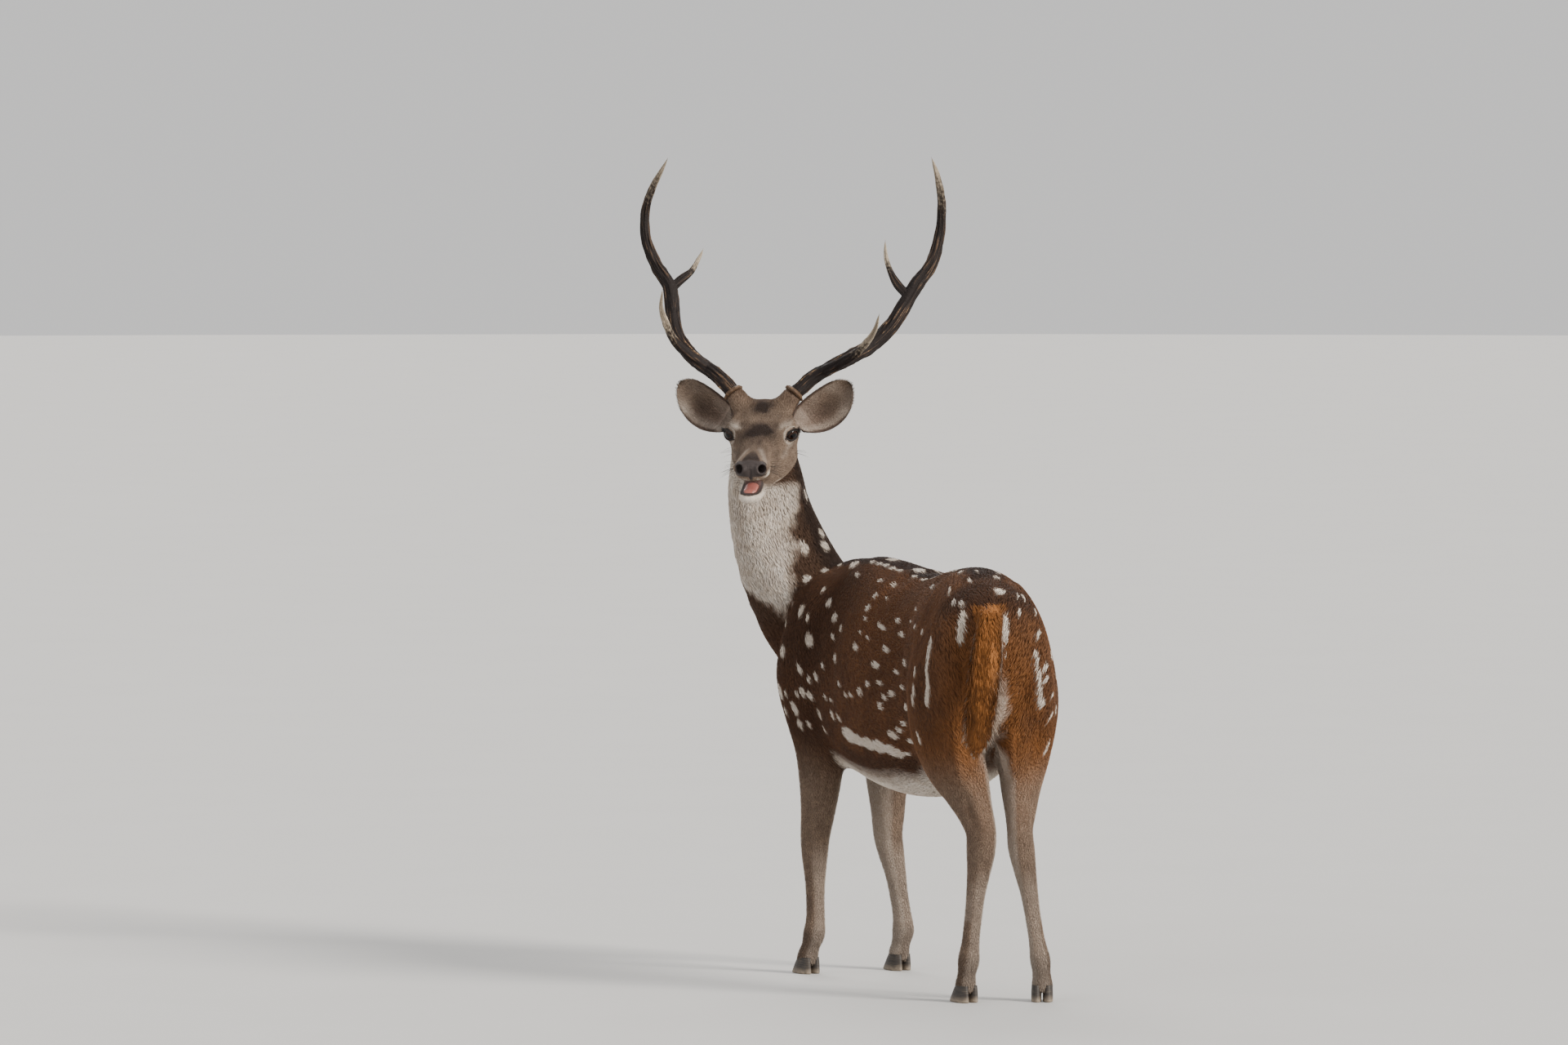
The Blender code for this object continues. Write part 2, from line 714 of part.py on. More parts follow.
def ear_rings(side, steps, across_steps, start=0.0):
    """Closed rings round the ear's wall, from root to tip: back surface, then front surface."""
    along, across, facing = ear_axes(side)
    table = np.asarray(EAR)
    rings = []
    for t in np.linspace(0.0, 1.0, steps) ** 0.9:
        half = np.interp(t, table[:, 0], table[:, 1])
        deep = np.interp(t, table[:, 0], table[:, 2])
        centre = ear_root(side) + along * (start + EAR_LENGTH * t)
        centre = centre + across * side * -0.010 * sin(pi * t) + facing * 0.010 * t * t
        wall = EAR_WALL * (1.0 - 0.55 * t) + 1.5 * deep * max(1.0 - t / 0.16, 0.0)
        v = np.linspace(-1.0, 1.0, across_steps)
        arch = deep * (1 - v * v)
        back = centre + np.outer(v * half, across) - np.outer(arch, facing)
        inner = v[::-1][1:-1] * (half - 0.4 * wall) / half
        lift = deep * (1 - v[::-1][1:-1] ** 2)
        front = centre + np.outer(inner * half, across) - np.outer(lift - wall, facing)
        rings.append(np.concatenate([back, front]))
    return rings


def build_ear(side, name):
    rings = ear_rings(side, 12, 8, GAP)
    root = np.asarray(rings[0])
    along = ear_axes(side)[0]
    place = ear_root(side) + along * GAP
    rings[0] = root - np.outer((root - place) @ along, along)
    make(name, tube_mesh(rings), PALE, 0.85)


# Antlers

# Outward, back and up from the burr, radius
BEAM = {
    "left": (
        (-0.001, 0.000, 0.000, 0.0165),
        (0.015, 0.008, 0.013, 0.0165),
        (0.035, 0.020, 0.032, 0.0165),
        (0.072, 0.045, 0.054, 0.0165),
        (0.112, 0.070, 0.076, 0.0170),
        (0.148, 0.098, 0.097, 0.0172),
        (0.190, 0.128, 0.140, 0.0172),
        (0.219, 0.150, 0.189, 0.0170),
        (0.239, 0.163, 0.225, 0.0165),
        (0.265, 0.178, 0.262, 0.0145),
        (0.282, 0.192, 0.322, 0.0122),
        (0.288, 0.190, 0.379, 0.0104),
        (0.285, 0.172, 0.431, 0.0085),
        (0.277, 0.148, 0.474, 0.0045),
        (0.272, 0.138, 0.491, 0.0012),
    ),
    "right": (
        (-0.000, 0.000, 0.000, 0.0165),
        (0.017, 0.008, 0.019, 0.0165),
        (0.042, 0.020, 0.040, 0.0165),
        (0.085, 0.046, 0.067, 0.0165),
        (0.119, 0.074, 0.097, 0.0170),
        (0.140, 0.100, 0.134, 0.0172),
        (0.149, 0.126, 0.176, 0.0172),
        (0.158, 0.146, 0.216, 0.0170),
        (0.191, 0.170, 0.265, 0.0145),
        (0.215, 0.188, 0.321, 0.0122),
        (0.216, 0.190, 0.378, 0.0104),
        (0.199, 0.176, 0.424, 0.0085),
        (0.172, 0.150, 0.469, 0.0045),
        (0.160, 0.138, 0.489, 0.0012),
    ),
}
INNER_TINE = {
    "left": (
        (0.222, 0.152, 0.201, 0.0120),
        (0.202, 0.160, 0.221, 0.0110),
        (0.184, 0.174, 0.246, 0.0092),
        (0.171, 0.192, 0.277, 0.0075),
        (0.167, 0.206, 0.302, 0.0045),
        (0.166, 0.214, 0.318, 0.0012),
    ),
    "right": (
        (0.155, 0.148, 0.216, 0.0120),
        (0.136, 0.162, 0.233, 0.0108),
        (0.119, 0.176, 0.248, 0.0094),
        (0.107, 0.194, 0.270, 0.0075),
        (0.100, 0.206, 0.287, 0.0045),
        (0.097, 0.214, 0.297, 0.0012),
    ),
}
BROW_TINE = {
    "left": (
        (0.051, 0.033, 0.042, 0.0130),
        (0.070, 0.026, 0.052, 0.0130),
        (0.102, 0.004, 0.068, 0.0125),
        (0.137, -0.030, 0.088, 0.0115),
        (0.166, -0.065, 0.115, 0.0098),
        (0.185, -0.096, 0.141, 0.0072),
        (0.194, -0.116, 0.165, 0.0036),
        (0.197, -0.122, 0.174, 0.0012),
    ),
    "right": (
        (0.057, 0.030, 0.049, 0.0130),
        (0.076, 0.022, 0.064, 0.0130),
        (0.097, 0.004, 0.081, 0.0125),
        (0.121, -0.030, 0.111, 0.0115),
        (0.135, -0.065, 0.150, 0.0100),
        (0.140, -0.095, 0.185, 0.0072),
        (0.135, -0.113, 0.212, 0.0036),
        (0.133, -0.120, 0.223, 0.0012),
    ),
}
FORK_AT = 0.47  # share of the beam's length where the upper beam begins


def antler_points(hand, table, count):
    side = 1 if hand == "left" else -1
    rows = resample(np.asarray(table[hand]), count)
    base = burr_place(side)
    places = (
        base
        + np.outer(rows[:, 0], HEAD_LEFT * side)
        - np.outer(rows[:, 1], HEADING)
        + np.outer(rows[:, 2], UP)
    )
    return places, rows[:, 3]


def tube(places, radii, sides):
    """Rings round a bent path, carried along without twisting."""
    tangents = np.gradient(places, axis=0)
    normal = unit(np.cross(tangents[0], [0.3, 0.1, 1.0]))
    rings = []
    for place, tangent, radius in zip(places, tangents, radii):
        tangent = unit(tangent)
        normal = unit(normal - tangent * (normal @ tangent))
        other = np.cross(tangent, normal)
        angle = np.arange(sides) * tau / sides
        rings.append(
            place
            + np.outer(np.cos(angle) * radius, normal)
            + np.outer(np.sin(angle) * radius, other)
        )
    return rings


def burr_rings(side, sides=16):
    """The knobbly ring that an antler stands on."""
    base, axis = burr_place(side), pedicle_axis(side)
    across = unit(np.cross(axis, HEADING))
    other = np.cross(axis, across)
    angle = np.arange(sides) * tau / sides
    knobs = 1 + 0.07 * np.cos(angle * 8)
    rings = []
    for lift, radius in ((GAP, 0.0190), (0.003, 0.0228), (0.007, 0.0232), (0.011, 0.0180)):
        round_ring = np.outer(np.cos(angle), across) + np.outer(np.sin(angle), other)
        rings.append(base + axis * lift + round_ring * (radius * knobs)[:, None])
    return rings


def build_antler(hand):
    side = 1 if hand == "left" else -1
    places, radii = antler_points(hand, BEAM, 28)
    fork = int(FORK_AT * len(places))
    direction = unit(places[fork + 1] - places[fork - 1])
    whole = make("beam", tube_mesh(tube(places, radii, 10)), ANTLER, 0.55)
    upper = copy_of(whole, f"antler_{hand}_upper_beam")
    lower = whole
    lower.name = f"antler_{hand}_lower_beam"
    burr = make("burr", tube_mesh(burr_rings(side)), ANTLER)
    cut(lower, burr, "UNION")
    under = beyond("under", burr_place(side) + pedicle_axis(side) * GAP, -pedicle_axis(side), 0.05)
    above = beyond("above", places[fork] - direction * GAP / 2, direction, 0.4)
    below = beyond("below", places[fork] + direction * GAP / 2, -direction, 0.4)
    cut(lower, under)
    cut(lower, above)
    cut(upper, below)
    drop(burr, under, above, below)
    keep_largest(lower)
    keep_largest(upper)
    fat = make("fat", tube_mesh(tube(places, radii + GAP, 10)))
    for label, table in (("inner_tine", INNER_TINE), ("brow_tine", BROW_TINE)):
        path, thick = antler_points(hand, table, 12)
        tine = make(f"antler_{hand}_{label}", tube_mesh(tube(path, thick, 8)), ANTLER, 0.55)
        cut(tine, fat)
        keep_largest(tine)
    drop(fat)


# Tail

# Behind the trunk's middle, height, half width, reach to the rear and to the front
TAIL = (
    (-0.462, 0.802, 0.018, 0.016, 0.014),
    (-0.482, 0.785, 0.023, 0.018, 0.016),
    (-0.500, 0.745, 0.028, 0.018, 0.014),
    (-0.508, 0.690, 0.030, 0.017, 0.013),
    (-0.508, 0.630, 0.030, 0.016, 0.012),
    (-0.502, 0.575, 0.025, 0.014, 0.010),
    (-0.494, 0.530, 0.016, 0.010, 0.008),
    (-0.490, 0.500, 0.005, 0.004, 0.003),
)
TAIL_ASIDE = 0.008  # of the root, towards the left
TAIL_SWING = 0.030  # of the tip, from there
LOCK_LENGTH = 0.062
LOCK_HALF = 0.0085
LOCK_THICK = 0.0030


def tail_rows():
    rows = []
    for ahead, height, half, rear, front in TAIL:
        swing = TAIL_ASIDE + TAIL_SWING * (TAIL[0][1] - height) / (TAIL[0][1] - TAIL[-1][1])
        turn = TRUNK_CURL * TAIL[0][0]
        place = on_trunk(ahead, swing, height)
        rows.append((*place, half, front, rear, turn, 2.0))
    return rows


def lock(root, along, out, face, length, half):
    """A flat tapered lock of hair: it leaves its root along one way and bends off sideways."""
    points = []
    for t in (0.0, 0.2, 0.45, 0.72, 1.0):
        centre = root + along * (length * t) + out * (0.20 * length * t * t) - face * (0.006 * t * t)
        wide = half * (0.75 + 1.4 * t - 1.95 * t * t)
        thick = LOCK_THICK * (1.0 - 0.72 * t)
        points.append(np.array([
            centre - out * wide, centre - face * thick, centre + out * wide, centre + face * thick,
        ]))
    return tube_mesh(points)


def tail_locks():
    """Locks that part from the tail's middle line and fan out to both edges, longest at the end."""
    rows = resample(np.asarray(tail_rows()), 41)
    rear = -trunk_axes(TAIL[0][0])[1]
    left = trunk_axes(TAIL[0][0])[2]
    shapes = []
    for step, t in enumerate((0.26, 0.36, 0.46, 0.56, 0.66, 0.76, 0.84)):
        row = rows[int(round(t * 40))]
        for side in (1, -1):
            for ring, (over, face) in enumerate(((0.30, 0.80), (0.78, 0.45))):
                slide = 0.25 * (step % 2) + 0.2 * ring
                root = row[:3] + left * side * row[3] * over + rear * row[5] * face - UP * 0.012 * slide
                along = unit(-UP + left * side * (0.20 - 0.06 * ring) + rear * 0.02)
                length = LOCK_LENGTH * (1.0 - 0.12 * (step % 2)) * (1.0 - 0.25 * ring * (t > 0.7))
                shapes.append(lock(root, along, left * side, rear, length, LOCK_HALF))
    for over in (-0.55, 0.0, 0.55):
        row = rows[35]
        root = row[:3] + left * row[3] * over + rear * row[5] * 0.2
        shapes.append(lock(root, unit(-UP + left * over * 0.3), left, rear, LOCK_LENGTH * 0.8, LOCK_HALF))
    return shapes


def build_tail():
    """The tail's core, fused with its locks."""
    tail = make("tail", loft(tail_rows(), 14, 10), RUSSET, 0.85)
    locks = bpy.data.collections.new("locks")
    bpy.context.scene.collection.children.link(locks)
    for number, shape in enumerate(tail_locks()):
        piece = make(f"lock_{number}", shape)
        bpy.context.scene.collection.objects.unlink(piece)
        locks.objects.link(piece)
    step = tail.modifiers.new("fuse", "BOOLEAN")
    step.operation = "UNION"
    step.operand_type = "COLLECTION"
    step.collection = locks
    step.solver = "EXACT"
    settle(tail)
    drop(*locks.objects)
    bpy.data.collections.remove(locks)
    paint(tail, RUSSET, 0.85)
    return keep_largest(tail)


# Hooves

def hoof_rings(which, toe):
    """Rings of one toe, from the coronet down to the ground."""
    last = leg_rows(which)[-2]
    ahead, left = leg_axes(which)
    centre = np.array([last[0], last[1], 0.0]) + left * toe * 0.0112
    rings = []
    for height, half, front, back in (
        (CORONET - GAP, 0.0100, 0.0190, 0.0190),
        (0.024, 0.0105, 0.0260, 0.0200),
        (0.012, 0.0108, 0.0330, 0.0210),
        (0.000, 0.0106, 0.0390, 0.0215),
    ):
        angle = np.arange(12) * tau / 12
        c, s = np.cos(angle), np.sin(angle)
        reach = np.where(s > 0, front, back) * s
        narrow = np.where(s > 0, 1 - 0.45 * s**2, 1.0)
        inner = np.where(c * toe < 0, 0.92, 1.0)
        rings.append(
            centre
            + np.outer(c * half * narrow * inner, left)
            + np.outer(reach, ahead)
            + np.array([0, 0, height])
        )
    return rings


def build_hooves(which):
    for toe, label in ((1, "left_toe"), (-1, "right_toe")):
        make(f"hoof_{which}_{label}", tube_mesh(hoof_rings(which, toe)), HORN, 0.4)


# The body, parted

# Outlines ahead and up of the space that each leg takes, with the shoulder or the haunch
FORE_UPPER = (
    (0.225, 0.430), (0.205, 0.500), (0.200, 0.600), (0.212, 0.710), (0.240, 0.785), (0.290, 0.822),
    (0.345, 0.808), (0.395, 0.750), (0.428, 0.680), (0.438, 0.600), (0.432, 0.520), (0.425, 0.430),
)
FORE_LOWER = ((0.180, -0.020), (0.180, 0.400), (0.230, 0.440), (0.420, 0.440), (0.450, 0.400), (0.450, -0.020))
HIND_UPPER = (
    (-0.520, 0.435), (-0.520, 0.600), (-0.510, 0.700), (-0.475, 0.780), (-0.410, 0.825),
    (-0.320, 0.840), (-0.240, 0.810), (-0.190, 0.740), (-0.170, 0.650), (-0.175, 0.560), (-0.215, 0.435),
)
HIND_LOWER = ((-0.500, -0.020), (-0.500, 0.445), (-0.212, 0.445), (-0.230, 0.400), (-0.250, -0.020))
# Inner plane of each of those spaces: distance out at the ground, lean
UPPER_PLANE = {"fore": (0.004, 0.055), "hind": (-0.040, 0.110)}
LOWER_PLANE = {
    "fore_left": (0.020, 0.0),
    "fore_right": (0.020, 0.0),
    "hind_left": (-0.068, 0.174),
    "hind_right": (0.0867, -0.178),
}


def leg_space(name, which, inset=0.0):
    """The space of a leg with its shoulder or haunch."""
    pair, hand = which.split("_")
    side = 1 if hand == "left" else -1
    at = 0.32 if pair == "fore" else -0.34
    upper, lower = (FORE_UPPER, FORE_LOWER) if pair == "fore" else (HIND_UPPER, HIND_LOWER)
    centre, ahead, left = trunk_axes(at)
    spaces = []
    for outline, plane in ((upper, UPPER_PLANE[pair]), (lower, LOWER_PLANE[which])):
        shifted = [(a - at, z) for a, z in outline]
        spaces.append(prism(name, shifted, centre, ahead, left * side, plane, 0.30, inset))
    cut(spaces[0], spaces[1], "UNION")
    drop(spaces[1])
    return spaces[0]


def dewclaws(which):
    """Two small horn cones behind the fetlock."""
    fetlock = leg_rows(which)[-4]
    ahead, left = leg_axes(which)
    shapes = []
    for side in (1, -1):
        root = np.asarray(fetlock[:3]) - ahead * (fetlock[5] - 0.011) + left * side * 0.011 - UP * 0.006
        tip = root - ahead * 0.016 - UP * 0.017 + left * side * 0.002
        shapes.append(cone(root, tip, 0.0066, 0.0026, 3, 8))
    return shapes


def body_shapes():
    shapes = [loft(trunk_rows(), 90, 48), loft(neck_rows(), 70, 44), *head_shapes()]
    for which in LEG_SWING:
        shapes.append(loft(leg_rows(which), 90, 28))
    _, ahead, left = trunk_axes(0.38)
    shapes.append(ball(on_trunk(0.385, 0.0, 0.600), (0.085, 0.085, 0.125), (left, ahead, UP)))
    _, ahead, left = trunk_axes(-0.13)
    shapes.append(ball(on_trunk(-0.150, 0.0, 0.425), (0.022, 0.075, 0.030), (left, ahead, UP)))
    _, ahead, left = trunk_axes(-0.38)
    for side in (1, -1):
        buttock = on_trunk(-0.378, side * 0.056, 0.605)
        shapes.append(ball(buttock, (0.042, 0.055, 0.170), (left, ahead, UP)))
    return shapes


def blend_places():
    """Where the plain forms meet, with the radius of the softening."""
    places = [
        (on_trunk(0.38, 0.00, 0.84), 0.10),
        (on_trunk(0.46, 0.06, 0.68), 0.08),
        (on_trunk(0.46, -0.06, 0.68), 0.08),
        (on_trunk(0.47, 0.00, 0.62), 0.08),
        (on_trunk(0.33, 0.00, 0.46), 0.07),
        (on_trunk(-0.15, 0.00, 0.42), 0.07),
    ]
    for side in (1, -1):
        places += [
            (on_trunk(0.30, side * 0.09, 0.80), 0.09),
            (on_trunk(0.23, side * 0.13, 0.62), 0.08),
            (on_trunk(0.42, side * 0.08, 0.58), 0.08),
            (on_trunk(0.27, side * 0.09, 0.47), 0.05),
            (on_trunk(-0.24, side * 0.12, 0.72), 0.09),
            (on_trunk(-0.19, side * 0.13, 0.56), 0.08),
            (on_trunk(-0.33, side * 0.02, 0.50), 0.05),
            (on_trunk(-0.44, side * 0.07, 0.76), 0.07),
            (on_trunk(-0.40, side * 0.06, 0.51), 0.06),
            (on_head(-0.004, side * 0.060, 0.010), 0.036),
            (on_head(-0.060, side * 0.045, 0.050), 0.028),
            (on_head(-0.060, side * 0.060, -0.010), 0.030),
            (on_head(-0.070, side * 0.050, -0.075), 0.040),
            (on_head(0.060, side * 0.040, -0.020), 0.030),
        ]
    return places


def fine_places():
    """Where the surface keeps more triangles, with the radius."""
    places = [(on_head(0.150, 0.0, -0.005), 0.050), (on_head(0.140, 0.0, -0.064), 0.035)]
    for side in (1, -1):
        places.append((on_head(0.006, side * 0.066, 0.010), 0.040))
        places.append((on_head(-0.060, side * 0.055, 0.050), 0.035))
    return places


def build_skin():
    skin = fuse("skin", body_shapes(), SKIN_VOXEL, 4)
    soften(skin, blend_places(), 60)
    set_points(skin, model_face(points_of(skin)))
    points = points_of(skin)
    head = near_places(points, [(on_head(0.03, 0.0, 0.0), 0.15)])
    legs = np.exp(-(((points[:, 2] - 0.10) / 0.22) ** 2))
    weights = 1.0 - 0.40 * np.maximum(head, legs) - 0.35 * near_places(points, fine_places())
    thin_out(skin, SKIN_TRIANGLES, weights)
    return skin


def part_off(skin, tail):
    """Cuts the skin back where the eyes, ears, antlers, hooves and tail begin."""
    cut_eyes(skin)
    cut_nostrils(skin)
    tools = []
    for side in (1, -1):
        tools.append(beyond("burr_plane", burr_place(side), pedicle_axis(side), 0.05))
        tools.append(beyond("ear_plane", ear_root(side), ear_axes(side)[0], 0.05))
    for which in LEG_SWING:
        foot = leg_rows(which)[-2]
        tools.append(beyond("ground_side", (foot[0], foot[1], CORONET), -UP, 0.06))
    room = grown(tail, GAP * 2)
    for tool in (*tools, room):
        cut(skin, tool)
    drop(*tools, room)
    keep_largest(skin)


def part_legs(skin):
    for which in LEG_SWING:
        leg = copy_of(skin, f"{which.split('_')[0]}leg_{which.split('_')[1]}")
        space = leg_space("space", which, GAP)
        cut(leg, space, "INTERSECT")
        drop(space)
        keep_largest(leg)
        for shape in dewclaws(which):
            claw = make("claw", shape)
            cut(leg, claw, "UNION")
            drop(claw)
    for which in LEG_SWING:
        space = leg_space("space", which)
        cut(skin, space)
        drop(space)


NECK_CUT = (0.375, 0.775)  # distance ahead and height of a point in the plane between neck and torso
NECK_CUT_LEAN = radians(42)  # of that plane's normal, above the level


def slab(point, normal, half):
    """A thin cut in a plane."""
    helper = unit(np.cross(normal, [0.3, 0.1, 1.0]))
    return block("slab", point, (helper, np.cross(normal, helper), normal), (half, half, GAP / 2))


def part_trunk(skin):
    """Parts the head, the neck and the torso."""
    head = copy_of(skin, "head")
    inside, around = head_space(GAP), head_space()
    cut(head, inside, "INTERSECT")
    cut(skin, around)
    keep_largest(head)
    _, ahead, left = trunk_axes(NECK_CUT[0])
    lean = unit(ahead * cos(NECK_CUT_LEAN) + UP * sin(NECK_CUT_LEAN))
    tool = slab(on_trunk(NECK_CUT[0], 0.0, NECK_CUT[1]), lean, 0.25)
    cut(skin, tool)
    drop(inside, around, tool)
    named = {"torso": on_trunk(0.0, 0.0, 0.62), "neck": np.array([0.143, -0.497, 0.930])}
    bpy.ops.object.select_all(action="DESELECT")
    skin.select_set(True)
    bpy.context.view_layer.objects.active = skin
    bpy.ops.mesh.separate(type="LOOSE")
    for piece in sorted(bpy.context.selected_objects, key=lambda o: -len(o.data.vertices)):
        points = points_of(piece)
        middle = (points.min(0) + points.max(0)) / 2
        name = min(named, key=lambda n: np.linalg.norm(named[n] - middle)) if named else None
        if name is None or len(points) < 60:
            drop(piece)
            continue
        piece.name = name
        del named[name]


def centre_on_origin():
    """Moves everything so that the middle of the box stands over the origin, soles at zero."""
    corners = np.concatenate([points_of(o) for o in bpy.data.objects])
    low, high = corners.min(0), corners.max(0)
    shift = Vector((-(low[0] + high[0]) / 2, -(low[1] + high[1]) / 2, -low[2]))
    for obj in bpy.data.objects:
        obj.data.transform(Matrix.Scale(SIZE, 4) @ Matrix.Translation(shift))


def main():
    for obj in list(bpy.data.objects):
        bpy.data.objects.remove(obj)
    skin = build_skin()
    part_off(skin, build_tail())
    part_legs(skin)
    part_trunk(skin)
    build_tongue(bpy.data.objects["head"])
    for side, hand in ((1, "left"), (-1, "right")):
        build_eye(side, f"eye_{hand}")
        build_ear(side, f"ear_{hand}")
        build_antler(hand)
    for which in LEG_SWING:
        build_hooves(which)
    centre_on_origin()


main()
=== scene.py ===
"""Chital (spotted deer) stag, life size: skin, coat, antlers, eyes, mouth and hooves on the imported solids.

Metres, +Z up. Shapes are worked out in the stag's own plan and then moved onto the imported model.
"""

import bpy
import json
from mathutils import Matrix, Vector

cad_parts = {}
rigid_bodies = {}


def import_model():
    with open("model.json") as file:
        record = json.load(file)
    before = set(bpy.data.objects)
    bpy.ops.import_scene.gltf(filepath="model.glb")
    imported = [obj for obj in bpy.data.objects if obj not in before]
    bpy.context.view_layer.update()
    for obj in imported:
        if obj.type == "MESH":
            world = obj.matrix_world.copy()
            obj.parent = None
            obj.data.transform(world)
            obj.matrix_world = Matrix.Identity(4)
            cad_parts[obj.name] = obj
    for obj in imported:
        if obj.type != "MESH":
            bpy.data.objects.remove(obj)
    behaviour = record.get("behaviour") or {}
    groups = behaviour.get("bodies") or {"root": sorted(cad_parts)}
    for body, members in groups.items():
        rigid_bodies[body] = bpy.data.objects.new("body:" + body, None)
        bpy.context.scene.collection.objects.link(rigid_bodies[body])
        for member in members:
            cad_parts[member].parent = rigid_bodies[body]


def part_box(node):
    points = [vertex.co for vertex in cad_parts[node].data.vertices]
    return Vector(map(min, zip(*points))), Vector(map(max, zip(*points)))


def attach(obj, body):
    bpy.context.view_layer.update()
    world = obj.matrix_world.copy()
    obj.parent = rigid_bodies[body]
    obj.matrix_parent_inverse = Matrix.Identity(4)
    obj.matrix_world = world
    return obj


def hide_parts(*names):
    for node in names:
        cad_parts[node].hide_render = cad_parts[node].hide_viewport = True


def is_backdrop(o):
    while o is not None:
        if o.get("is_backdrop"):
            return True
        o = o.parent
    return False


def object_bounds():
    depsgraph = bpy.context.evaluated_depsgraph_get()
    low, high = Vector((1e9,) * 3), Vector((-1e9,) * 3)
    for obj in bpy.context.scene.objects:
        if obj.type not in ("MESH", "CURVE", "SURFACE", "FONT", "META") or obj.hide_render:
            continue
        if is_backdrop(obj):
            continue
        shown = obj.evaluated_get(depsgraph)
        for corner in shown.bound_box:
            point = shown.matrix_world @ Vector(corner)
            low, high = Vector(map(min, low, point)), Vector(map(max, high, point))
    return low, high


bl_info = {"name": "Chital Stag", "version": (1, 0, 0), "blender": (4, 5, 0),
    "location": "View3D > Sidebar > Stag",
    "description": "Builds the skin, coat, antlers, eyes and hooves of a life-size chital stag",
    "category": "Add Mesh"}

import json
from functools import reduce
from math import cos, pi, radians, sin, tau

import bmesh
import bpy
import numpy as np
from mathutils import Vector, noise
from mathutils.bvhtree import BVHTree

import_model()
CAD_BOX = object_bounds()

FLESH = ("head", "neck", "torso", "tail", "foreleg_left", "foreleg_right", "hindleg_left", "hindleg_right",
    "ear_left", "ear_right")

TRUNK_CURL = 0.75  # turn of the spine, radians for each metre along it
HEAD_TURN = radians(148)  # heading of the head, from the trunk's own, to the left
HEAD_PITCH = radians(20.5)  # nose below the level
EYE_LEVEL = 1.108
# Sizes of the head's own pieces
EYE_RADIUS = 0.0175
LID_REACH = 0.015  # from the eye's centre to the rim of its opening, along the gaze
EYE_PLACE = (0.002, 0.0585, 0.012)  # forward, outward, up from the point between the eyes
BURR_PLACE = (-0.062, 0.061, 0.0725)
PEDICLE_RADIUS = 0.0225
EAR_LENGTH = 0.142
UP = np.array([0.0, 0.0, 1.0])
HANDS = ((1, "left"), (-1, "right"))


def scaled(rows, unit, last=None):
    """Rows of whole numbers as real ones: each over the unit, the last column over its own."""
    return [(*(v / unit for v in row[:-1]), row[-1] / (last or unit)) for row in rows]


def unit(v):
    return v / np.linalg.norm(v)


def most(*values):
    return reduce(np.maximum, values)


def hump(x, middle, width):
    """1 at the middle, fading over the width."""
    return np.exp(-(((x - middle) / width) ** 2))


def lengths(rows):
    return np.linalg.norm(rows, axis=1)


def dots(first, second):
    return np.sum(first * second, axis=1)


def mixed(old, new, share):
    """The old values where the share is 0, the new ones where it is 1."""
    return old * (1 - share) + new * share


def step(x, low, high):
    """0 below low, 1 above high, smooth between; low may be the higher one."""
    t = np.clip((x - low) / (high - low), 0.0, 1.0)
    return t * t * (3 - 2 * t)


def resample(rows, count):
    """Rows read evenly along a smooth curve through them; the first three columns are the place."""
    rows = np.asarray(rows, float)
    step = lengths(np.diff(rows[:, :3], axis=0))
    at = np.concatenate([[0.0], np.cumsum(step)])
    slope = np.gradient(rows, at, axis=0)
    t = np.linspace(0.0, at[-1], count)
    i = np.clip(np.searchsorted(at, t, side="right") - 1, 0, len(at) - 2)
    h = (at[i + 1] - at[i])[:, None]
    u = (t - at[i])[:, None] / h
    return (rows[i] * (1 + 2 * u) * (1 - u) ** 2 + rows[i + 1] * u * u * (3 - 2 * u) + slope[i] * h * u
        * (1 - u) ** 2 - slope[i + 1] * h * u * u * (1 - u))


def trunk_axes(along):
    """Centre of the spine's plan curve, its heading and its left, at a distance ahead of the middle."""
    turn = TRUNK_CURL * along
    centre = np.array([(1 - cos(turn)) / TRUNK_CURL, -sin(turn) / TRUNK_CURL, 0.0])
    ahead = np.array([sin(turn), -cos(turn), 0.0])
    left = np.array([cos(turn), sin(turn), 0.0])
    return centre, ahead, left


def on_trunk(along, out, height):
    centre, _, left = trunk_axes(along)
    return centre + left * out + np.array([0.0, 0.0, height])


def circle(sides):
    """Cosines and sines of evenly spread angles."""
    angle = np.arange(sides) * tau / sides
    return np.cos(angle), np.sin(angle)


def ring_shape(sides, power):
    c, s = circle(sides)
    return np.sign(c) * np.abs(c) ** (2 / power), np.sign(s) * np.abs(s) ** (2 / power)


def loft(rows, rings, sides):
    """A closed tube. Rows: x, y, z, side, front and back half sizes, heading of the left axis, power."""
    rows = resample(rows, rings)
    tangents = np.gradient(rows[:, :3], axis=0)
    points = []
    for row, tangent in zip(rows, tangents):
        tangent = unit(tangent)
        left = np.array([cos(row[6]), sin(row[6]), 0.0])
        left = unit(left - tangent * (left @ tangent))
        front = np.cross(tangent, left)
        c, s = ring_shape(sides, max(row[7], 1.2))
        reach = np.where(s > 0, row[4], row[5]) * s
        points.append(row[:3] + np.outer(c * row[3], left) + np.outer(reach, front))
    return tube_mesh(points)


def tube_mesh(points):
    """Vertices and faces of a run of rings with a fan over each end."""
    count, sides = len(points), len(points[0])
    vertices = np.concatenate([*points, [points[0].mean(0)], [points[-1].mean(0)]])
    faces = []
    for i in range(count - 1):
        for j in range(sides):
            k = (j + 1) % sides
            a, b = i * sides, (i + 1) * sides
            faces.append((a + j, a + k, b + k, b + j))
    first, last = count * sides, count * sides + 1
    end = (count - 1) * sides
    for j in range(sides):
        k = (j + 1) % sides
        faces.append((first, k, j))
        faces.append((last, end + j, end + k))
    return vertices, faces


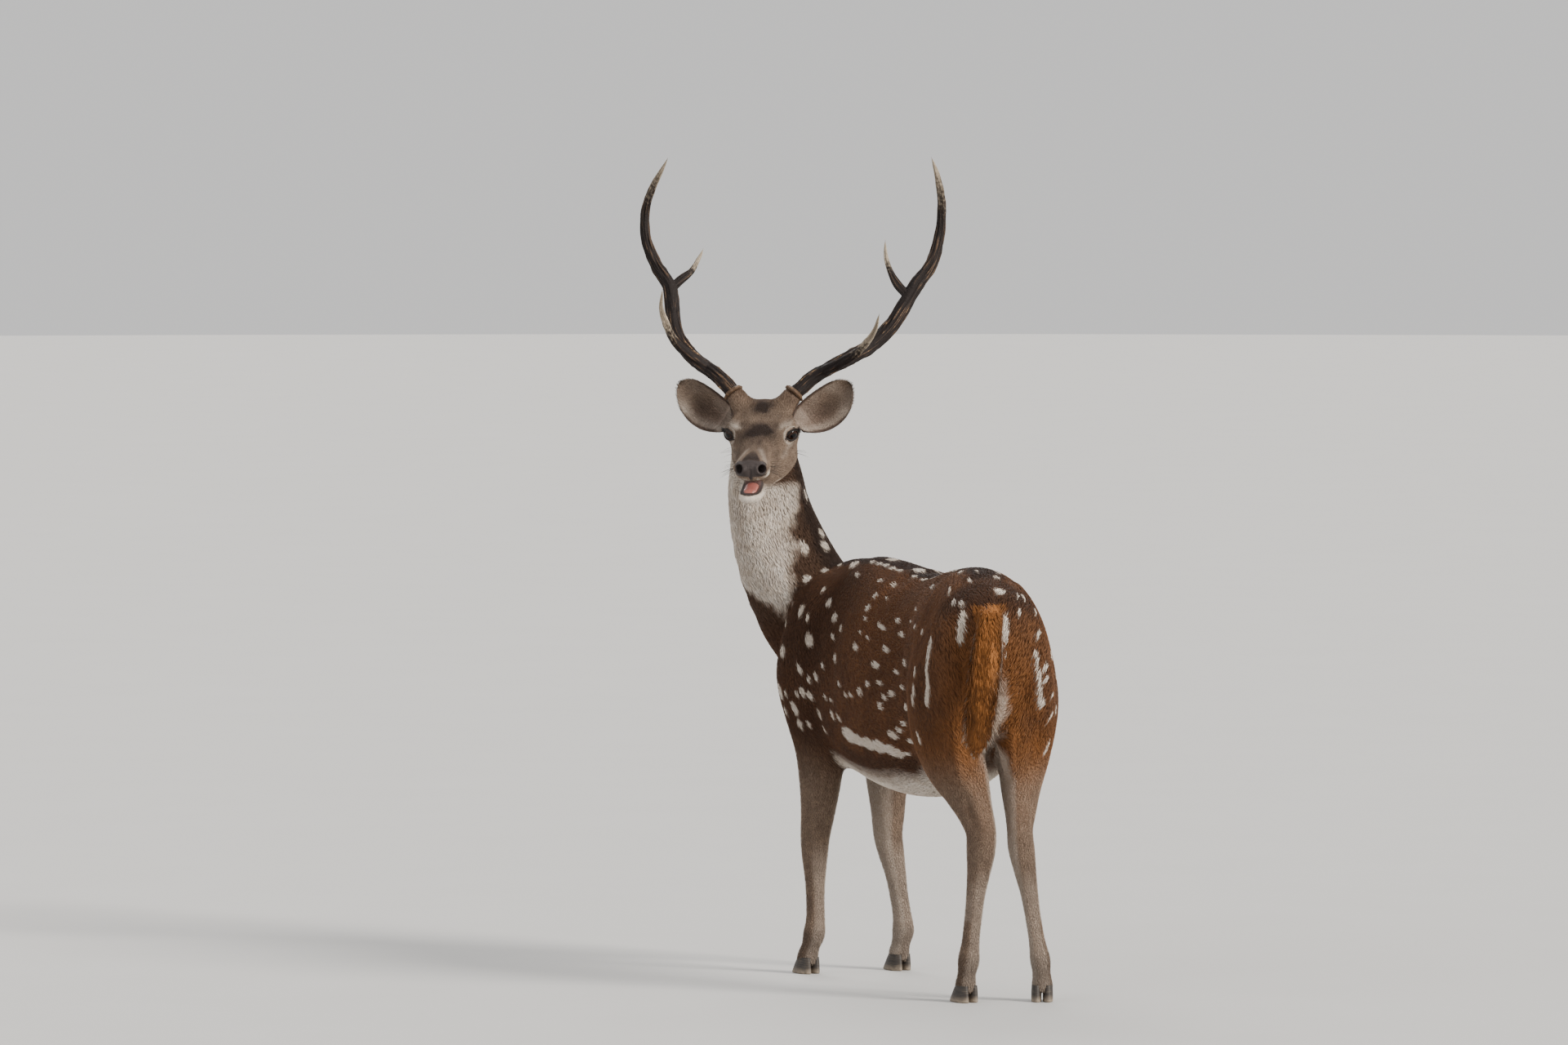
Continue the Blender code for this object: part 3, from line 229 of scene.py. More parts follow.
def settle(obj):
    """Applies the object's modifiers."""
    graph = bpy.context.evaluated_depsgraph_get()
    mesh = bpy.data.meshes.new_from_object(obj.evaluated_get(graph))
    old = obj.data
    obj.modifiers.clear()
    obj.data = mesh
    bpy.data.meshes.remove(old)
    return obj


def keep_largest(obj):
    """Leaves only the largest closed surface of the mesh."""
    bm = bmesh.new()
    bm.from_mesh(obj.data)
    bm.verts.ensure_lookup_table()
    seen, islands = set(), []
    for start in bm.verts:
        if start in seen:
            continue
        stack, island = [start], set()
        seen.add(start)
        while stack:
            v = stack.pop()
            island.add(v)
            for e in v.link_edges:
                w = e.other_vert(v)
                if w not in seen:
                    seen.add(w)
                    stack.append(w)
        islands.append(island)
    islands.sort(key=len)
    loose = [v for island in islands[:-1] for v in island]
    bmesh.ops.delete(bm, geom=loose, context="VERTS")
    bm.to_mesh(obj.data)
    bm.free()
    return obj


def weigh(obj, name, weights):
    """A vertex group with the weights, in steps of a twentieth."""
    group = obj.vertex_groups.new(name=name)
    levels = np.round(np.asarray(weights) * 20).astype(int)
    for level in range(1, 21):
        group.add(np.flatnonzero(levels == level).tolist(), level / 20, "REPLACE")
    return name


def near_places(points, places):
    """For each point 1 at a place, fading to 0 over its radius. Places: point, radius."""
    near = np.zeros(len(points))
    for place, radius in places:
        near = most(near, np.exp(-np.sum((points - place) ** 2, axis=1) / radius**2))
    return near


def soften(obj, places, rounds):
    """Evens out the surface round the places, where one form runs into another."""
    step = obj.modifiers.new("blend", "SMOOTH")
    step.vertex_group = weigh(obj, "blend", near_places(points_of(obj), places))
    step.factor = 0.5
    step.iterations = rounds
    return settle(obj)


def values_of(items, key, width=3):
    """A value of every item of a mesh, one row each."""
    flat = np.empty(len(items) * width)
    items.foreach_get(key, flat)
    return flat.reshape(-1, width)


def points_of(obj):
    return values_of(obj.data.vertices, "co")


def set_points(obj, points):
    obj.data.vertices.foreach_set("co", points.ravel())
    obj.data.update()


# Distance ahead, height of the widest level, half width, reach up and down from there, power
TRUNK = scaled(((-475, 715, 30, 72, 30, 200), (-462, 715, 60, 98, 80, 200), (-430, 715, 95, 124, 130, 200),
    (-370, 710, 118, 152, 170, 200), (-290, 700, 130, 176, 200, 200), (-200, 670, 138, 201, 220, 200),
    (-100, 625, 158, 235, 220, 210), (0, 595, 170, 258, 210, 215), (100, 590, 168, 265, 200, 210),
    (200, 600, 152, 268, 190, 200), (300, 620, 130, 256, 190, 195), (370, 640, 115, 225, 180, 200),
    (430, 650, 95, 160, 140, 200), (475, 655, 62, 90, 85, 200), (492, 655, 30, 40, 40, 200)), 1000, 100)
# Place, half width, reach to the throat and to the nape, heading in degrees. From the head down
NECK = scaled(((168, -475, 1128, 38, 42, 28, 142), (160, -489, 1090, 62, 72, 54, 140),
    (152, -500, 1040, 74, 86, 74, 125), (143, -497, 960, 80, 92, 86, 100),
    (126, -478, 880, 85, 102, 96, 72), (102, -445, 800, 88, 114, 108, 46),
    (78, -405, 730, 90, 124, 125, 27), (58, -362, 660, 82, 105, 110, 17), (40, -320, 610, 50, 70, 80, 14)),
    1000, 1)
# Distance ahead, out from the mid-plane, height, half width, reach forward and back
FORELEG = scaled(((2900, 520, 8250, 200, 400, 400), (3050, 700, 7800, 400, 800, 650),
    (3350, 860, 7000, 500, 920, 880), (3450, 920, 6200, 540, 900, 950), (3350, 860, 5400, 530, 750, 880),
    (3280, 800, 4700, 480, 550, 680), (3280, 780, 4000, 420, 450, 490), (3330, 800, 3300, 345, 365, 365),
    (3380, 830, 2820, 300, 320, 320), (3370, 850, 2450, 265, 285, 295), (3340, 870, 2050, 220, 225, 255),
    (3320, 880, 1500, 188, 195, 235), (3310, 890, 1100, 192, 200, 255), (3340, 900, 840, 222, 228, 280),
    (3450, 900, 580, 195, 190, 210), (3540, 900, 360, 225, 230, 220), (3580, 900, 200, 225, 230, 220)),
    10000)
HINDLEG = scaled(((-2900, 550, 8250, 250, 500, 600), (-3100, 660, 7700, 440, 1000, 1050),
    (-3250, 800, 7000, 550, 1280, 1280), (-3200, 880, 6200, 640, 1320, 1220),
    (-3080, 880, 5500, 620, 1180, 1040), (-3150, 820, 4900, 540, 880, 880),
    (-3450, 700, 4300, 410, 580, 650), (-3800, 620, 3800, 315, 400, 460), (-3980, 580, 3450, 265, 320, 450),
    (-4040, 580, 3120, 260, 310, 400), (-4020, 600, 2750, 235, 260, 310), (-3960, 640, 2300, 195, 210, 245),
    (-3860, 680, 1700, 175, 185, 220), (-3780, 720, 1150, 182, 188, 240), (-3750, 740, 860, 215, 220, 272),
    (-3660, 750, 580, 190, 190, 200), (-3580, 750, 360, 220, 230, 210), (-3540, 750, 200, 220, 230, 210)),
    10000)
# How far each leg is swung from its plain place at the joint in its middle and at the foot:
# height of that joint, then ahead and to the stag's left, at the joint and at the foot
LEG_SWING = {"fore_left": (0.28, (0.0, 0.0), (0.0, 0.0)), "fore_right": (0.28, (-0.034, 0.0),
    (-0.066, -0.014)), "hind_left": (0.33, (0.0, -0.04), (0.0, -0.034)),
    "hind_right": (0.33, (0.0, -0.005), (-0.01, -0.043))}
LEG_TWIST = {"fore_left": 0.0, "fore_right": 0.0, "hind_left": radians(27), "hind_right": radians(-8)}
SWING_FROM = {"fore": 0.62, "hind": 0.7}  # the height where a leg's swing begins


def ease(t):
    t = min(max(t, 0.0), 1.0)
    return t * t * (3 - 2 * t)


def leg_rows(which):
    """A leg's rows in the model's frame, swung so that the foot lands in its place."""
    pair, hand = which.split("_")
    side = 1 if hand == "left" else -1
    joint, at_joint, at_foot = LEG_SWING[which]
    start = SWING_FROM[pair]
    rows = []
    for ahead, out, height, half, front, back in FORELEG if pair == "fore" else HINDLEG:
        upper = ease((start - height) / (start - joint))
        lower = min(max((joint - height) / joint, 0.0), 1.0)
        ahead_by = at_joint[0] * upper + (at_foot[0] - at_joint[0]) * lower
        left_by = at_joint[1] * upper + (at_foot[1] - at_joint[1]) * lower
        place = on_trunk(ahead + ahead_by, side * out + left_by, height)
        turn = TRUNK_CURL * ahead + LEG_TWIST[which] * upper
        rows.append((*place, half, front, back, turn, 2.1))
    return rows


def leg_axes(which):
    """Ahead and left of a foot."""
    pair = which.split("_")[0]
    turn = TRUNK_CURL * (0.33 if pair == "fore" else -0.36) + LEG_TWIST[which]
    return np.array([sin(turn), -cos(turn), 0.0]), np.array([cos(turn), sin(turn), 0.0])


def trunk_rows():
    rows = []
    for ahead, height, half, up, down, power in TRUNK:
        rows.append((*on_trunk(ahead, 0.0, height), half, up, down, TRUNK_CURL * ahead, power))
    return rows


def neck_rows():
    return [(*row[:6], radians(row[6]), 2.0) for row in NECK]


HEADING = np.array([sin(HEAD_TURN), -cos(HEAD_TURN), 0.0])
HEAD_LEFT = np.array([cos(HEAD_TURN), sin(HEAD_TURN), 0.0])
FACE = HEADING * cos(HEAD_PITCH) - UP * sin(HEAD_PITCH)
CROWN = HEADING * sin(HEAD_PITCH) + UP * cos(HEAD_PITCH)
BETWEEN_EYES = np.array([0.198, -0.418, EYE_LEVEL])


def on_head(forward, out, up):
    return BETWEEN_EYES + FACE * forward + HEAD_LEFT * out + CROWN * up


# Forward of the eyes, height of the widest level, half width, reach up and down, power
SKULL = scaled(((-1280, -100, 220, 200, 300, 20), (-1120, -80, 480, 420, 550, 20),
    (-750, -80, 650, 660, 700, 21), (-350, -80, 690, 690, 740, 22), (0, -60, 660, 570, 700, 22),
    (350, -120, 570, 510, 580, 21), (700, -160, 460, 470, 380, 20), (1000, -140, 385, 410, 280, 20),
    (1300, -80, 360, 330, 260, 21), (1550, -30, 365, 260, 245, 23), (1700, -10, 325, 210, 230, 22),
    (1780, 0, 180, 100, 135, 20)), 10000, 10)
JAW = scaled(((-900, -440, 340, 250, 250, 20), (-650, -480, 600, 400, 400, 20),
    (-250, -520, 670, 400, 440, 21), (150, -550, 590, 360, 400, 21), (500, -610, 430, 280, 300, 20),
    (850, -670, 320, 130, 210, 20), (1180, -705, 280, 110, 175, 21), (1420, -710, 245, 100, 160, 21),
    (1570, -675, 180, 85, 125, 20), (1640, -645, 90, 40, 60, 20)), 10000, 10)
TONGUE = scaled(((1060, -530, 110, 60, 50, 20), (1130, -535, 150, 70, 58, 22), (1310, -540, 165, 68, 68, 23),
    (1470, -545, 140, 50, 68, 22), (1550, -560, 60, 20, 40, 20)), 10000, 10)
JAW_ASIDE = -0.01  # of the chin, as in chewing


def jaw_aside(forward):
    """How far the swung jaw is aside: nothing at the cheeks, all at the chin."""
    return JAW_ASIDE * np.clip((forward - 0.02) / 0.12, 0, 1)


def head_rows(table, aside=0.0):
    """Rows of the skull or, swung aside towards the chin, of the jaw and the tongue."""
    rows = []
    for forward, up, half, above, below, power in table:
        out = aside * min(max((forward - 0.02) / 0.12, 0.0), 1.0)
        rows.append((*on_head(forward, out, up), half, above, below, HEAD_TURN, power))
    return rows


def ball(centre, radii, axes, rings=14, sides=20):
    """An ellipsoid as rings, with its first axis through its poles."""
    points = []
    c, s = circle(sides)
    for i in range(1, rings):
        t = pi * i / rings
        pole = centre - axes[0] * cos(t) * radii[0]
        points.append(pole + np.outer(c * sin(t) * radii[1], axes[1])
            + np.outer(s * sin(t) * radii[2], axes[2]))
    return tube_mesh(points)


def cone(start, end, first, last, rings=6, sides=14):
    """A round tapered post with softened ends."""
    axis = unit(end - start)
    side = unit(np.cross(axis, [0.3, 0.2, 1.0]))
    other = np.cross(axis, side)
    c, s = circle(sides)
    spread = np.outer(c, side) + np.outer(s, other)
    shares = [i / (rings - 1) for i in range(rings)]
    return tube_mesh([start + (end - start) * t + spread * (first + (last - first) * t) for t in shares])


def burr_place(side):
    forward, out, up = BURR_PLACE
    return on_head(forward, side * out, up)


def pedicle_axis(side):
    """The way a pedicle points: up, out and a little back."""
    return unit(UP * 0.72 + HEAD_LEFT * side * 0.6 - HEADING * 0.28)


def ear_axes(side):
    """Along the ear, across it, and the way its cup faces."""
    along = unit(HEAD_LEFT * side * 0.785 + UP * 0.605 - HEADING * 0.12)
    facing = unit(HEADING * 0.96 + HEAD_LEFT * side * 0.1 - UP * 0.06)
    facing = unit(facing - along * (facing @ along))
    across = np.cross(facing, along)
    return along, across, facing


def ear_root(side):
    return on_head(-0.052, side * 0.071, 0.012)


def head_shapes():
    shapes = [loft(head_rows(SKULL), 60, 40), loft(head_rows(JAW, JAW_ASIDE), 50, 36)]
    axes = (HEAD_LEFT, FACE, CROWN)
    shapes.append(ball(on_head(0.083, 0.0, -0.05), (0.033, 0.022, 0.012), axes))
    for side in (1, -1):
        forward, out, up = EYE_PLACE
        eye = on_head(forward - 0.007, side * (out - 0.007), up + 0.001)
        shapes.append(ball(eye, (0.0265, 0.029, 0.0265), axes))
        brow = on_head(forward - 0.014, side * (out - 0.016), up + 0.014)
        shapes.append(ball(brow, (0.029, 0.036, 0.022), axes))
        foot = on_head(BURR_PLACE[0] + 0.014, side * 0.03, 0.026)
        top = burr_place(side) + pedicle_axis(side) * 0.006
        shapes.append(cone(foot, top, PEDICLE_RADIUS * 1.35, PEDICLE_RADIUS))
        root = ear_root(side)
        along = ear_axes(side)[0]
        shapes.append(cone(root - along * 0.04, root + along * 0.001, 0.034, 0.02))
        wing = on_head(0.16, side * 0.0235, 0.004)
        shapes.append(ball(wing, (0.0135, 0.0135, 0.014), axes))
        lip = on_head(0.145, side * 0.021, -0.015)
        shapes.append(ball(lip, (0.0165, 0.024, 0.01), axes))
    return shapes


def swell(points, centre, radius, push):
    """Moves points near a centre by a push that fades away round it."""
    near = np.exp(-np.sum((points - centre) ** 2, axis=1) / radius**2)
    return points + near[:, None] * np.asarray(push)


# Share of the length, half width, depth of the cup
EAR = scaled(((0, 210, 160), (1000, 310, 200), (2500, 400, 225), (4500, 440, 205), (6500, 415, 160),
    (8000, 345, 115), (9200, 225, 70), (9800, 115, 40), (10000, 50, 25)), 10000)
# Outward, back and up from the burr, radius
BEAM = {"left": scaled(((-10, 0, 0, 165), (150, 80, 130, 165), (350, 200, 320, 165), (720, 450, 540, 165),
    (1120, 700, 760, 170), (1480, 980, 970, 172), (1900, 1280, 1400, 172), (2190, 1500, 1890, 170),
    (2390, 1630, 2250, 165), (2650, 1780, 2620, 145), (2820, 1920, 3220, 122), (2880, 1900, 3790, 104),
    (2850, 1720, 4310, 85), (2770, 1480, 4740, 45), (2720, 1380, 4910, 12)), 10000),
    "right": scaled(((0, 0, 0, 165), (170, 80, 190, 165), (420, 200, 400, 165), (850, 460, 670, 165),
    (1190, 740, 970, 170), (1400, 1000, 1340, 172), (1490, 1260, 1760, 172), (1580, 1460, 2160, 170),
    (1910, 1700, 2650, 145), (2150, 1880, 3210, 122), (2160, 1900, 3780, 104), (1990, 1760, 4240, 85),
    (1720, 1500, 4690, 45), (1600, 1380, 4890, 12)), 10000)}
INNER_TINE = {"left": scaled(((2220, 1520, 2010, 120), (2020, 1600, 2210, 110), (1840, 1740, 2460, 92),
    (1710, 1920, 2770, 75), (1670, 2060, 3020, 45), (1660, 2140, 3180, 12)), 10000),
    "right": scaled(((1550, 1480, 2160, 120), (1360, 1620, 2330, 108), (1190, 1760, 2480, 94),
    (1070, 1940, 2700, 75), (1000, 2060, 2870, 45), (970, 2140, 2970, 12)), 10000)}
BROW_TINE = {"left": scaled(((510, 330, 420, 130), (700, 260, 520, 130), (1020, 40, 680, 125),
    (1370, -300, 880, 115), (1660, -650, 1150, 98), (1850, -960, 1410, 72), (1940, -1160, 1650, 36),
    (1970, -1220, 1740, 12)), 10000), "right": scaled(((570, 300, 490, 130), (760, 220, 640, 130),
    (970, 40, 810, 125), (1210, -300, 1110, 115), (1350, -650, 1500, 100), (1400, -950, 1850, 72),
    (1350, -1130, 2120, 36), (1330, -1200, 2230, 12)), 10000)}


def antler_points(hand, table, count):
    side = 1 if hand == "left" else -1
    rows = resample(np.asarray(table[hand]), count)
    base = burr_place(side)
    places = (base + np.outer(rows[:, 0], HEAD_LEFT * side) - np.outer(rows[:, 1], HEADING)
        + np.outer(rows[:, 2], UP))
    return places, rows[:, 3]


def tube(places, radii, sides):
    """Rings round a bent path, carried along without twisting."""
    tangents = np.gradient(places, axis=0)
    normal = unit(np.cross(tangents[0], [0.3, 0.1, 1.0]))
    c, s = circle(sides)
    rings = []
    for place, tangent, radius in zip(places, tangents, radii):
        tangent = unit(tangent)
        normal = unit(normal - tangent * (normal @ tangent))
        rings.append(place + np.outer(c * radius, normal) + np.outer(s * radius, np.cross(tangent, normal)))
    return rings


# Behind the trunk's middle, height, half width, reach to the rear and to the front
TAIL = scaled(((-462, 802, 18, 16, 14), (-482, 785, 23, 18, 16), (-500, 745, 28, 18, 14),
    (-508, 690, 30, 17, 13), (-508, 630, 30, 16, 12), (-502, 575, 25, 14, 10), (-494, 530, 16, 10, 8),
    (-490, 500, 5, 4, 3)), 1000)
TAIL_ASIDE = 0.008  # of the root, towards the left
TAIL_SWING = 0.03  # of the tip, from there


def tail_rows():
    rows = []
    for ahead, height, half, rear, front in TAIL:
        swing = TAIL_ASIDE + TAIL_SWING * (TAIL[0][1] - height) / (TAIL[0][1] - TAIL[-1][1])
        turn = TRUNK_CURL * TAIL[0][0]
        place = on_trunk(ahead, swing, height)
        rows.append((*place, half, front, rear, turn, 2.0))
    return rows


def body_shapes():
    shapes = [loft(trunk_rows(), 90, 48), loft(neck_rows(), 70, 44), *head_shapes()]
    for which in LEG_SWING:
        shapes.append(loft(leg_rows(which), 90, 28))
    _, ahead, left = trunk_axes(0.38)
    shapes.append(ball(on_trunk(0.385, 0.0, 0.6), (0.085, 0.085, 0.125), (left, ahead, UP)))
    _, ahead, left = trunk_axes(-0.13)
    shapes.append(ball(on_trunk(-0.15, 0.0, 0.425), (0.022, 0.075, 0.03), (left, ahead, UP)))
    _, ahead, left = trunk_axes(-0.38)
    for side in (1, -1):
        buttock = on_trunk(-0.378, side * 0.056, 0.605)
        shapes.append(ball(buttock, (0.042, 0.055, 0.17), (left, ahead, UP)))
    return shapes


# Where the plain forms meet: a place on the trunk, or on the head, and the radius of the softening
MIDDLE_BLENDS = scaled(((380, 0, 840, 100), (460, 60, 680, 80), (460, -60, 680, 80), (470, 0, 620, 80),
    (330, 0, 460, 70), (-150, 0, 420, 70)), 1000)
SIDE_BLENDS = scaled(((300, 90, 800, 90), (230, 130, 620, 80), (420, 80, 580, 80), (270, 90, 470, 50),
    (-240, 120, 720, 90), (-190, 130, 560, 80), (-330, 20, 500, 50), (-440, 70, 760, 70),
    (-400, 60, 510, 60)), 1000)
HEAD_BLENDS = scaled(((-4, 60, 10, 36), (-60, 45, 50, 28), (-60, 60, -10, 30), (-70, 50, -75, 40),
    (60, 40, -20, 30)), 1000)


def blend_places():
    """The places where the plain forms meet, those of the sides twice."""
    places = [(on_trunk(*row[:3]), row[3]) for row in MIDDLE_BLENDS]
    for side in (1, -1):
        for rows, placed in ((SIDE_BLENDS, on_trunk), (HEAD_BLENDS, on_head)):
            places += [(placed(ahead, side * out, up), radius) for ahead, out, up, radius in rows]
    return places


# Skin

def linked(name, data):
    """A new object with the data, in the scene."""
    obj = bpy.data.objects.new(name, data)
    bpy.context.scene.collection.objects.link(obj)
    return obj


def make(name, shape):
    """A mesh object from vertices and faces, facing out."""
    vertices, faces = shape
    mesh = bpy.data.meshes.new(name)
    mesh.from_pydata([tuple(v) for v in vertices], [], [tuple(f) for f in faces])
    bm = bmesh.new()
    bm.from_mesh(mesh)
    bmesh.ops.recalc_face_normals(bm, faces=bm.faces)
    if bm.calc_volume(signed=True) < 0:
        bmesh.ops.reverse_faces(bm, faces=bm.faces)
    bm.to_mesh(mesh)
    bm.free()
    return linked(name, mesh)


def joined(shapes):
    """Several shapes as one."""
    vertices, faces, shift = [], [], 0
    for v, f in shapes:
        vertices.append(v)
        faces += [tuple(i + shift for i in face) for face in f]
        shift += len(v)
    return np.concatenate(vertices), faces


def fused(name, shapes, voxel, rounds):
    """One closed surface over several overlapping shapes, lightly smoothed."""
    obj = make(name, joined(shapes))
    skin = obj.modifiers.new("skin", "REMESH")
    skin.mode = "VOXEL"
    skin.voxel_size = voxel
    soft = obj.modifiers.new("soften", "SMOOTH")
    soft.factor = 0.5
    soft.iterations = rounds
    return keep_largest(settle(obj))


def boolean(obj, tool, operation):
    step = obj.modifiers.new(operation, "BOOLEAN")
    step.operation = operation
    step.object = tool
    step.solver = "MANIFOLD"
    settle(obj)
    bpy.data.objects.remove(tool)


def normals_of(obj):
    return values_of(obj.data.vertex_normals, "vector")


def tree_of(obj, shift=0.0):
    """For finding places on the surface, moved back by the shift."""
    points = (points_of(obj) - shift).tolist()
    return BVHTree.FromPolygons(points, [face.vertices[:] for face in obj.data.polygons])


def refined(obj, places, least):
    """Splits the faces near the places in four."""
    near = near_places(points_of(obj), places) > least
    bm = bmesh.new()
    bm.from_mesh(obj.data)
    edges = [e for e in bm.edges if near[e.verts[0].index] and near[e.verts[1].index]]
    bmesh.ops.subdivide_edges(bm, edges=edges, cuts=1, use_grid_fill=True)
    bm.to_mesh(obj.data)
    bm.free()


def ear_shape(side, steps=44, across_steps=26):
    """The ear: a cup with a thin wall, narrow and thick at its root."""
    along, across, facing = ear_axes(side)
    share, halves, deeps = resample(np.asarray(EAR), 200).T
    rings = []
    for t in np.linspace(0.0, 1.0, steps) ** 0.9:
        half = np.interp(t, share, halves) - 0.0008
        deep = np.interp(t, share, deeps)
        centre = ear_root(side) + along * ((EAR_LENGTH - 0.002) * t - 0.004)
        centre = centre + across * side * -0.01 * sin(pi * t) + facing * 0.01 * t * t
        wall = 0.0026 * (1.0 - 0.45 * t) + 1.5 * deep * max(1.0 - t / 0.16, 0.0)
        v = np.sin(np.linspace(-pi / 2, pi / 2, across_steps))
        arch = deep * (1 - v * v)
        back = centre + np.outer(v * half, across) - np.outer(arch - 0.0007, facing)
        inner = v[::-1][1:-1] * (half - 0.4 * wall) / half
        lift = deep * (1 - v[::-1][1:-1] ** 2)
        front = centre + np.outer(inner * half, across) - np.outer(lift - 0.0007 - wall, facing)
        rings.append(np.concatenate([back, front]))
    return tube_mesh(rings)


def slim(rows, share):
    """Rows with their half sizes times a share."""
    return [(*row[:3], row[3] * share, row[4] * share, row[5] * share, *row[6:]) for row in rows]


# Middle lines of the parts: where each lies, how thick it is and which way its hair runs

class Line:
    def __init__(self, rows, count, way):
        rows = resample(np.asarray([row[:7] for row in rows]), count)
        ahead = np.gradient(rows[:, :3], axis=0)
        ahead /= lengths(ahead)[:, None]
        left = np.stack([np.cos(rows[:, 6]), np.sin(rows[:, 6]), np.zeros(count)], 1)
        left -= ahead * dots(ahead, left)[:, None]
        left /= lengths(left)[:, None]
        self.places = rows[:, :3]
        self.lie = ahead * way
        self.left = left
        self.front = np.cross(ahead, left)
        self.radius = most((rows[:, 3] + (rows[:, 4] + rows[:, 5]) / 2) / 2, rows[:, 3:6].max() * 0.35)

    def read(self, points):
        """For each point: nearness from 0 to 1, the nearest sample, way of the hair."""
        nearness = np.empty(len(points))
        sample = np.empty(len(points), int)
        lie = np.empty((len(points), 3))
        for start in range(0, len(points), 20000):
            part = slice(start, start + 20000)
            square = np.sum(points[part] ** 2, axis=1)[:, None] + np.sum(self.places**2, axis=1)
            square = most(square - 2 * points[part] @ self.places.T, 0)
            sample[part] = square.argmin(1)
            weight = np.exp(-2.5 * square / self.radius**2)
            nearness[part] = weight.max(1)
            lie[part] = weight @ self.lie
        return nearness, sample, lie


def middle_lines():
    lines = {"trunk": Line(trunk_rows(), 60, -1), "neck": Line(neck_rows(), 40, 1),
        "head": Line(head_rows(SKULL), 40, -1), "jaw": Line(head_rows(JAW), 30, -1),
        "tail": Line(tail_rows(), 24, 1)}
    for which in LEG_SWING:
        lines[which] = Line(leg_rows(which), 60, 1)
    for side, hand in HANDS:
        along = ear_axes(side)[0]
        root = ear_root(side)
        rows = [(*(root + along * s), 0.036, 0.022, 0.022, HEAD_TURN) for s in (0.0, 0.05, 0.1, 0.14)]
        lines[f"ear_{hand}"] = Line(rows, 16, 1)
    return lines


def plan(points):
    """Distance ahead along the spine, out to the left of it, and height."""
    x, y = 1 / TRUNK_CURL - points[:, 0], -points[:, 1]
    return np.arctan2(y, x) / TRUNK_CURL, 1 / TRUNK_CURL - np.hypot(x, y), points[:, 2]


def face_plan(points):
    """Forward, out to the left and up from the point between the eyes."""
    away = points - BETWEEN_EYES
    return away @ FACE, away @ HEAD_LEFT, away @ CROWN


class Survey:
    """What lies where on the skin: nearness to each part, and places in the trunk's and face's plans."""

    def __init__(self, points, normals, lines):
        self.points, self.normals = points, normals
        self.near, self.sample, self.lies = {}, {}, {}
        for name, line in lines.items():
            self.near[name], self.sample[name], self.lies[name] = line.read(points)
        self.lines = lines
        self.ahead, self.out, self.height = plan(points)
        self.forward, self.aside, self.up = face_plan(points)
        total = sum(self.near.values()) + 1e-9
        self.share = {name: value / total for name, value in self.near.items()}
        self.face = step(self.share["head"] + self.share["jaw"], 0.35, 0.65)
        self.fore = self.share["fore_left"] + self.share["fore_right"]
        self.hind = self.share["hind_left"] + self.share["hind_right"]
        self.ear = step(self.share["ear_left"] + self.share["ear_right"], 0.42, 0.6)
        self.tail = step(self.tail_gap(), 0.034, 0.026)

    def tail_gap(self):
        line = self.lines["tail"]
        gap = lengths(self.points - line.places[self.sample["tail"]])
        return np.where(self.height > 0.8, 0.05, gap)

    def inner(self, which):
        """How far a point on a leg faces the other leg, from -1 to 1."""
        line, k = self.lines[which], self.sample[which]
        side = 1 if which.endswith("left") else -1
        return -side * dots(line.left[k], self.normals)

    def rear(self, which):
        line, k = self.lines[which], self.sample[which]
        return dots(line.front[k], self.normals)


def hair_way(at):
    """The way the hair runs, along each part and hanging a little."""
    way = np.zeros_like(at.points)
    for name, lie in at.lies.items():
        size = lengths(lie)[:, None] + 1e-9
        way += lie / size * at.near[name][:, None]
    way /= lengths(way)[:, None] + 1e-9
    trunk = at.share["trunk"] + at.hind * step(at.height, 0.45, 0.6)
    flank = step(np.abs(at.out), 0.02, 0.1) * (1 - at.face)
    rump = step(at.ahead, -0.4, -0.46)
    way[:, 2] -= trunk * (0.55 * flank + 1.2 * rump)
    thigh = step(at.ahead, -0.36, -0.42) * step(at.height, 0.42, 0.55) * (1 - at.tail)
    _, _, left = trunk_axes(-0.42)
    way -= np.outer(thigh * np.sign(at.out) * 0.4, left)
    tail_line = at.lines["tail"]
    k = at.sample["tail"]
    from_middle = dots(at.points - tail_line.places[k], tail_line.left[k])
    way += np.outer(at.tail * np.clip(from_middle / 0.018, -1, 1) * 0.8, left)
    return way


def flattened(way, normals):
    way = way - normals * dots(way, normals)[:, None]
    return way / (lengths(way)[:, None] + 1e-9)


def evened(values, edges, count, rounds):
    """Values averaged with their neighbours along the edges."""
    a, b = edges[:, 0], edges[:, 1]
    degree = np.bincount(a, minlength=count) + np.bincount(b, minlength=count) + 1
    for _ in range(rounds):
        total = values.copy()
        for axis in range(values.shape[1]):
            total[:, axis] += np.bincount(a, values[b, axis], count) + np.bincount(b, values[a, axis],
                count)
        values = total / degree[:, None]
    return values


def coat_depth(at):
    """How deep the coat is over the skin."""
    depth = 0.0034 + 0.0022 * at.share["neck"] * step(at.height, 1.1, 1.0)
    legs = most(at.fore, at.hind) * step(at.height, 0.5, 0.34)
    depth = mixed(mixed(depth, 0.0018, legs), 0.0016, at.face)
    muzzle = at.face * step(at.forward, 0.09, 0.14)
    return mixed(depth, 0.0007, muzzle)


